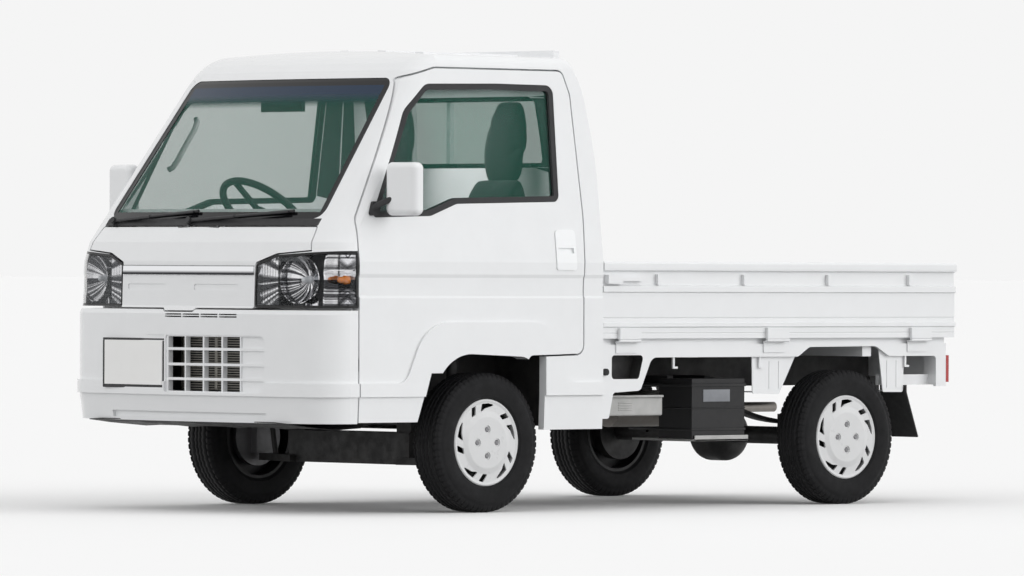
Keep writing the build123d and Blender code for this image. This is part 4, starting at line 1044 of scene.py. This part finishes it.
class TRUCK_OT_seats(Operator):
    """Build both seats from simulated pads, and the assist grip"""
    bl_idname = "truck.seats"
    bl_label = "Seats"

    def execute(self, context):
        seat = settings().seats
        cloth = weave_cloth("seat_cloth", seat.colour, 0.0018)
        low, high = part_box("seat_left")
        middle = (low.x + high.x) / 2
        for name, wide, long, thick, (y, z), lean, seams, taper, corner in PADS:
            points, faces = pad_part(wide, long, thick, seat.crown * 0.6, taper, corner)
            turn = Matrix.Translation((middle, y, z)) @ Matrix.Rotation(math.radians(lean), 4, "X")
            pad = mesh_object(f"{name}_left", *moved((points, faces), turn), cloth, "root", "seat_fabric")
            welded(pad, 0.0002)
            plumped(pad, seat)
            sewn(pad, turn, wide, seams, 0.006)
            faces = [list(face.vertices) for face in pad.data.polygons]
            other = mirrored(([v.co.copy() for v in pad.data.vertices], faces))
            twin = mesh_object(f"{name}_right", *other, cloth, "root", "seat_fabric")
            for piece in (pad, twin):
                piece.data.shade_smooth()
                smoother = piece.modifiers.new("round", "SUBSURF")
                smoother.levels = smoother.render_levels = 1
            if name == "cushion":
                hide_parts("seat_left")
                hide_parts("seat_right")
        base = metal_finish("seat_frame", (0.05, 0.05, 0.05), 0.45)
        parts = [box_part((middle - 0.19, -0.79, 0.614), (middle + 0.19, -0.39, 0.69), 0.012)]
        for x in (middle - BAR_APART, middle + BAR_APART):
            parts.append(along([(x, -0.360, 1.18), (x, -0.345, 1.30)], 0.006))
        frame_parts = joined(parts)
        mesh_object("seat_base_left", *frame_parts, base, "root", "frame_black")
        mesh_object("seat_base_right", *mirrored(frame_parts), base, "root", "frame_black")
        grey = plain_finish("grip_grey", (0.52, 0.53, 0.53), 0.55)
        mesh_object("assist_grip", *along(GRIP_PATH, 0.011, 14), grey, "root", "frame_black")
        return {"FINISHED"}


# Camera solved from the photo: place, angles in degrees, and focal length in pixels of the picture's width
CAMERA_PLACE = (22.72635769, -21.202231, 0.92027943)
CAMERA_AZIMUTH = 47.00004
CAMERA_ELEVATION = 0.16229
CAMERA_ROLL = 0.26926
FOCAL_PIXELS = 8080.65
PICTURE_WIDTH = 1024
SENSOR = 36.0
LAMP_SPREAD = 50
CABIN_PLACE = (0, -0.72, 1.585)
CABIN_SIZE = (1.0, 0.6)
FLOOR_REACH = 400.0
# The floor's albedo to the light and to the camera
FLOOR_ALBEDO = 0.3
SEEN_ALBEDO = 0.86


def seen_strength(material):
    """1 for rays that look at the backdrop and 0 for those that light the object."""
    path = add_node(material, "ShaderNodeLightPath")
    seen = maths(material, "MAXIMUM", path.outputs["Is Camera Ray"], path.outputs["Is Glossy Ray"])
    return maths(material, "MAXIMUM", seen, path.outputs["Is Transmission Ray"])


def floor_finish(stage):
    """Pale floor: lit as a matt surface, with the rest of its brightness only in what the camera sees."""
    material, shader = new_material("pale_floor")
    nodes = material.node_tree.nodes
    nodes.remove(shader)
    cloud = noise_factor(material, 0.7, 3.0, 0.5, 0.995, 1.0)
    seen = seen_strength(material)
    matt = add_node(material, "ShaderNodeBsdfDiffuse")
    join(material, remapped(material, seen, (0.0, 1.0), (FLOOR_ALBEDO, SEEN_ALBEDO)), matt.inputs["Color"])
    glow = add_node(material, "ShaderNodeEmission", Color=(*stage.floor_colour, 1))
    level = maths(material, "MULTIPLY", seen, stage.floor_glow)
    join(material, maths(material, "MULTIPLY", level, cloud), glow.inputs["Strength"])
    both = add_node(material, "ShaderNodeAddShader")
    join(material, matt.outputs["BSDF"], both.inputs[0])
    join(material, glow.outputs["Emission"], both.inputs[1])
    join(material, both.outputs["Shader"], nodes["Material Output"].inputs["Surface"])
    return material


class TRUCK_OT_stage(Operator):
    """Set the floor, the light and the camera"""
    bl_idname = "truck.stage"
    bl_label = "Stage"

    def execute(self, context):
        stage = settings().stage
        scene = context.scene
        scene.view_settings.view_transform = "Standard"
        world = bpy.data.worlds.new("studio")
        scene.world = world
        world.use_nodes = True
        sky = world.node_tree.nodes["Background"]
        path = add_node(world, "ShaderNodeLightPath")
        seen = maths(world, "MAXIMUM", path.outputs["Is Camera Ray"], path.outputs["Is Transmission Ray"])
        level = remapped(world, seen, (0.0, 1.0), (stage.sky, stage.floor_colour[0]))
        join(world, level, sky.inputs["Strength"])
        sky.inputs["Color"].default_value = (1, 1, 1, 1)

        floor_mesh = bpy.data.meshes.new("floor")
        corners = [(x * FLOOR_REACH, y * FLOOR_REACH, 0) for x, y in ((-1, -1), (1, -1), (1, 1), (-1, 1))]
        floor_mesh.from_pydata(corners, [], [(0, 1, 2, 3)])
        floor_mesh.materials.append(floor_finish(stage))
        floor = bpy.data.objects.new("floor", floor_mesh)
        scene.collection.objects.link(floor)

        suns = (("key", stage.key, stage.key_side), ("fill", stage.fill, stage.fill_side))
        for name, energy, bearing in suns:
            lamp = bpy.data.lights.new(name, "SUN")
            lamp.energy = energy
            lamp.angle = math.radians(LAMP_SPREAD)
            holder = bpy.data.objects.new(name, lamp)
            holder.rotation_euler = (math.radians(90 - stage.lamp_height), 0, math.radians(bearing))
            holder.visible_glossy = False
            scene.collection.objects.link(holder)

        cabin = bpy.data.lights.new("cabin", "AREA")
        cabin.shape = "RECTANGLE"
        cabin.size, cabin.size_y = CABIN_SIZE
        cabin.energy = stage.cabin
        holder = bpy.data.objects.new("cabin", cabin)
        holder.location = CABIN_PLACE
        holder.visible_glossy = holder.visible_camera = False
        scene.collection.objects.link(holder)

        az, el, roll = (math.radians(a) for a in (CAMERA_AZIMUTH, CAMERA_ELEVATION, CAMERA_ROLL))
        back = Vector((math.sin(az) * math.cos(el), -math.cos(az) * math.cos(el), math.sin(el)))
        right = (-back).cross(Vector((0, 0, 1))).normalized()
        up = right.cross(-back)
        turned_right = right * math.cos(roll) + up * math.sin(roll)
        turned_up = up * math.cos(roll) - right * math.sin(roll)
        data = bpy.data.cameras.new("camera")
        data.sensor_width = SENSOR
        data.lens = FOCAL_PIXELS / PICTURE_WIDTH * SENSOR
        data.clip_end = 2000
        camera = bpy.data.objects.new("camera", data)
        camera.matrix_world = Matrix.Translation(CAMERA_PLACE) @ Matrix(
            (turned_right, turned_up, back)).transposed().to_4x4()
        scene.collection.objects.link(camera)
        scene.camera = camera
        return {"FINISHED"}


STEPS = (TRUCK_OT_body, TRUCK_OT_glass, TRUCK_OT_trim, TRUCK_OT_lamps, TRUCK_OT_chassis, TRUCK_OT_tyres,
         TRUCK_OT_seats, TRUCK_OT_stage)


class TRUCK_PT_panel(Panel):
    """Lists the steps and their settings"""
    bl_idname = "TRUCK_PT_panel"
    bl_label = "Kei truck"
    bl_space_type = "VIEW_3D"
    bl_region_type = "UI"
    bl_category = "Kei truck"

    def draw(self, context):
        for step in STEPS:
            self.layout.operator(step.bl_idname)
        groups = context.scene.kei_truck
        for name in ("paint", "glass", "wheels", "lamps", "seats", "stage"):
            box = self.layout.box()
            box.label(text=name.capitalize())
            group = getattr(groups, name)
            for setting in group.__annotations__:
                box.prop(group, setting)


class TruckSettings(PropertyGroup):
    """Every group of settings."""
    paint: PointerProperty(type=PaintSettings)
    glass: PointerProperty(type=GlassSettings)
    wheels: PointerProperty(type=WheelSettings)
    lamps: PointerProperty(type=LampSettings)
    seats: PointerProperty(type=SeatSettings)
    stage: PointerProperty(type=StageSettings)


CLASSES = (PaintSettings, GlassSettings, WheelSettings, LampSettings, SeatSettings, StageSettings,
           TruckSettings, *STEPS, TRUCK_PT_panel)


def register():
    """Registers the classes and the scene's settings."""
    for cls in CLASSES:
        bpy.utils.register_class(cls)
    bpy.types.Scene.kei_truck = PointerProperty(type=TruckSettings)


def unregister():
    """Takes the classes and settings away again."""
    del bpy.types.Scene.kei_truck
    for cls in reversed(CLASSES):
        bpy.utils.unregister_class(cls)


def main():
    """Registers the classes and runs every step in order."""
    register()
    for step in STEPS:
        group, name = step.bl_idname.split(".")
        getattr(getattr(bpy.ops, group), name)()


if __name__ == "__main__":
    main()
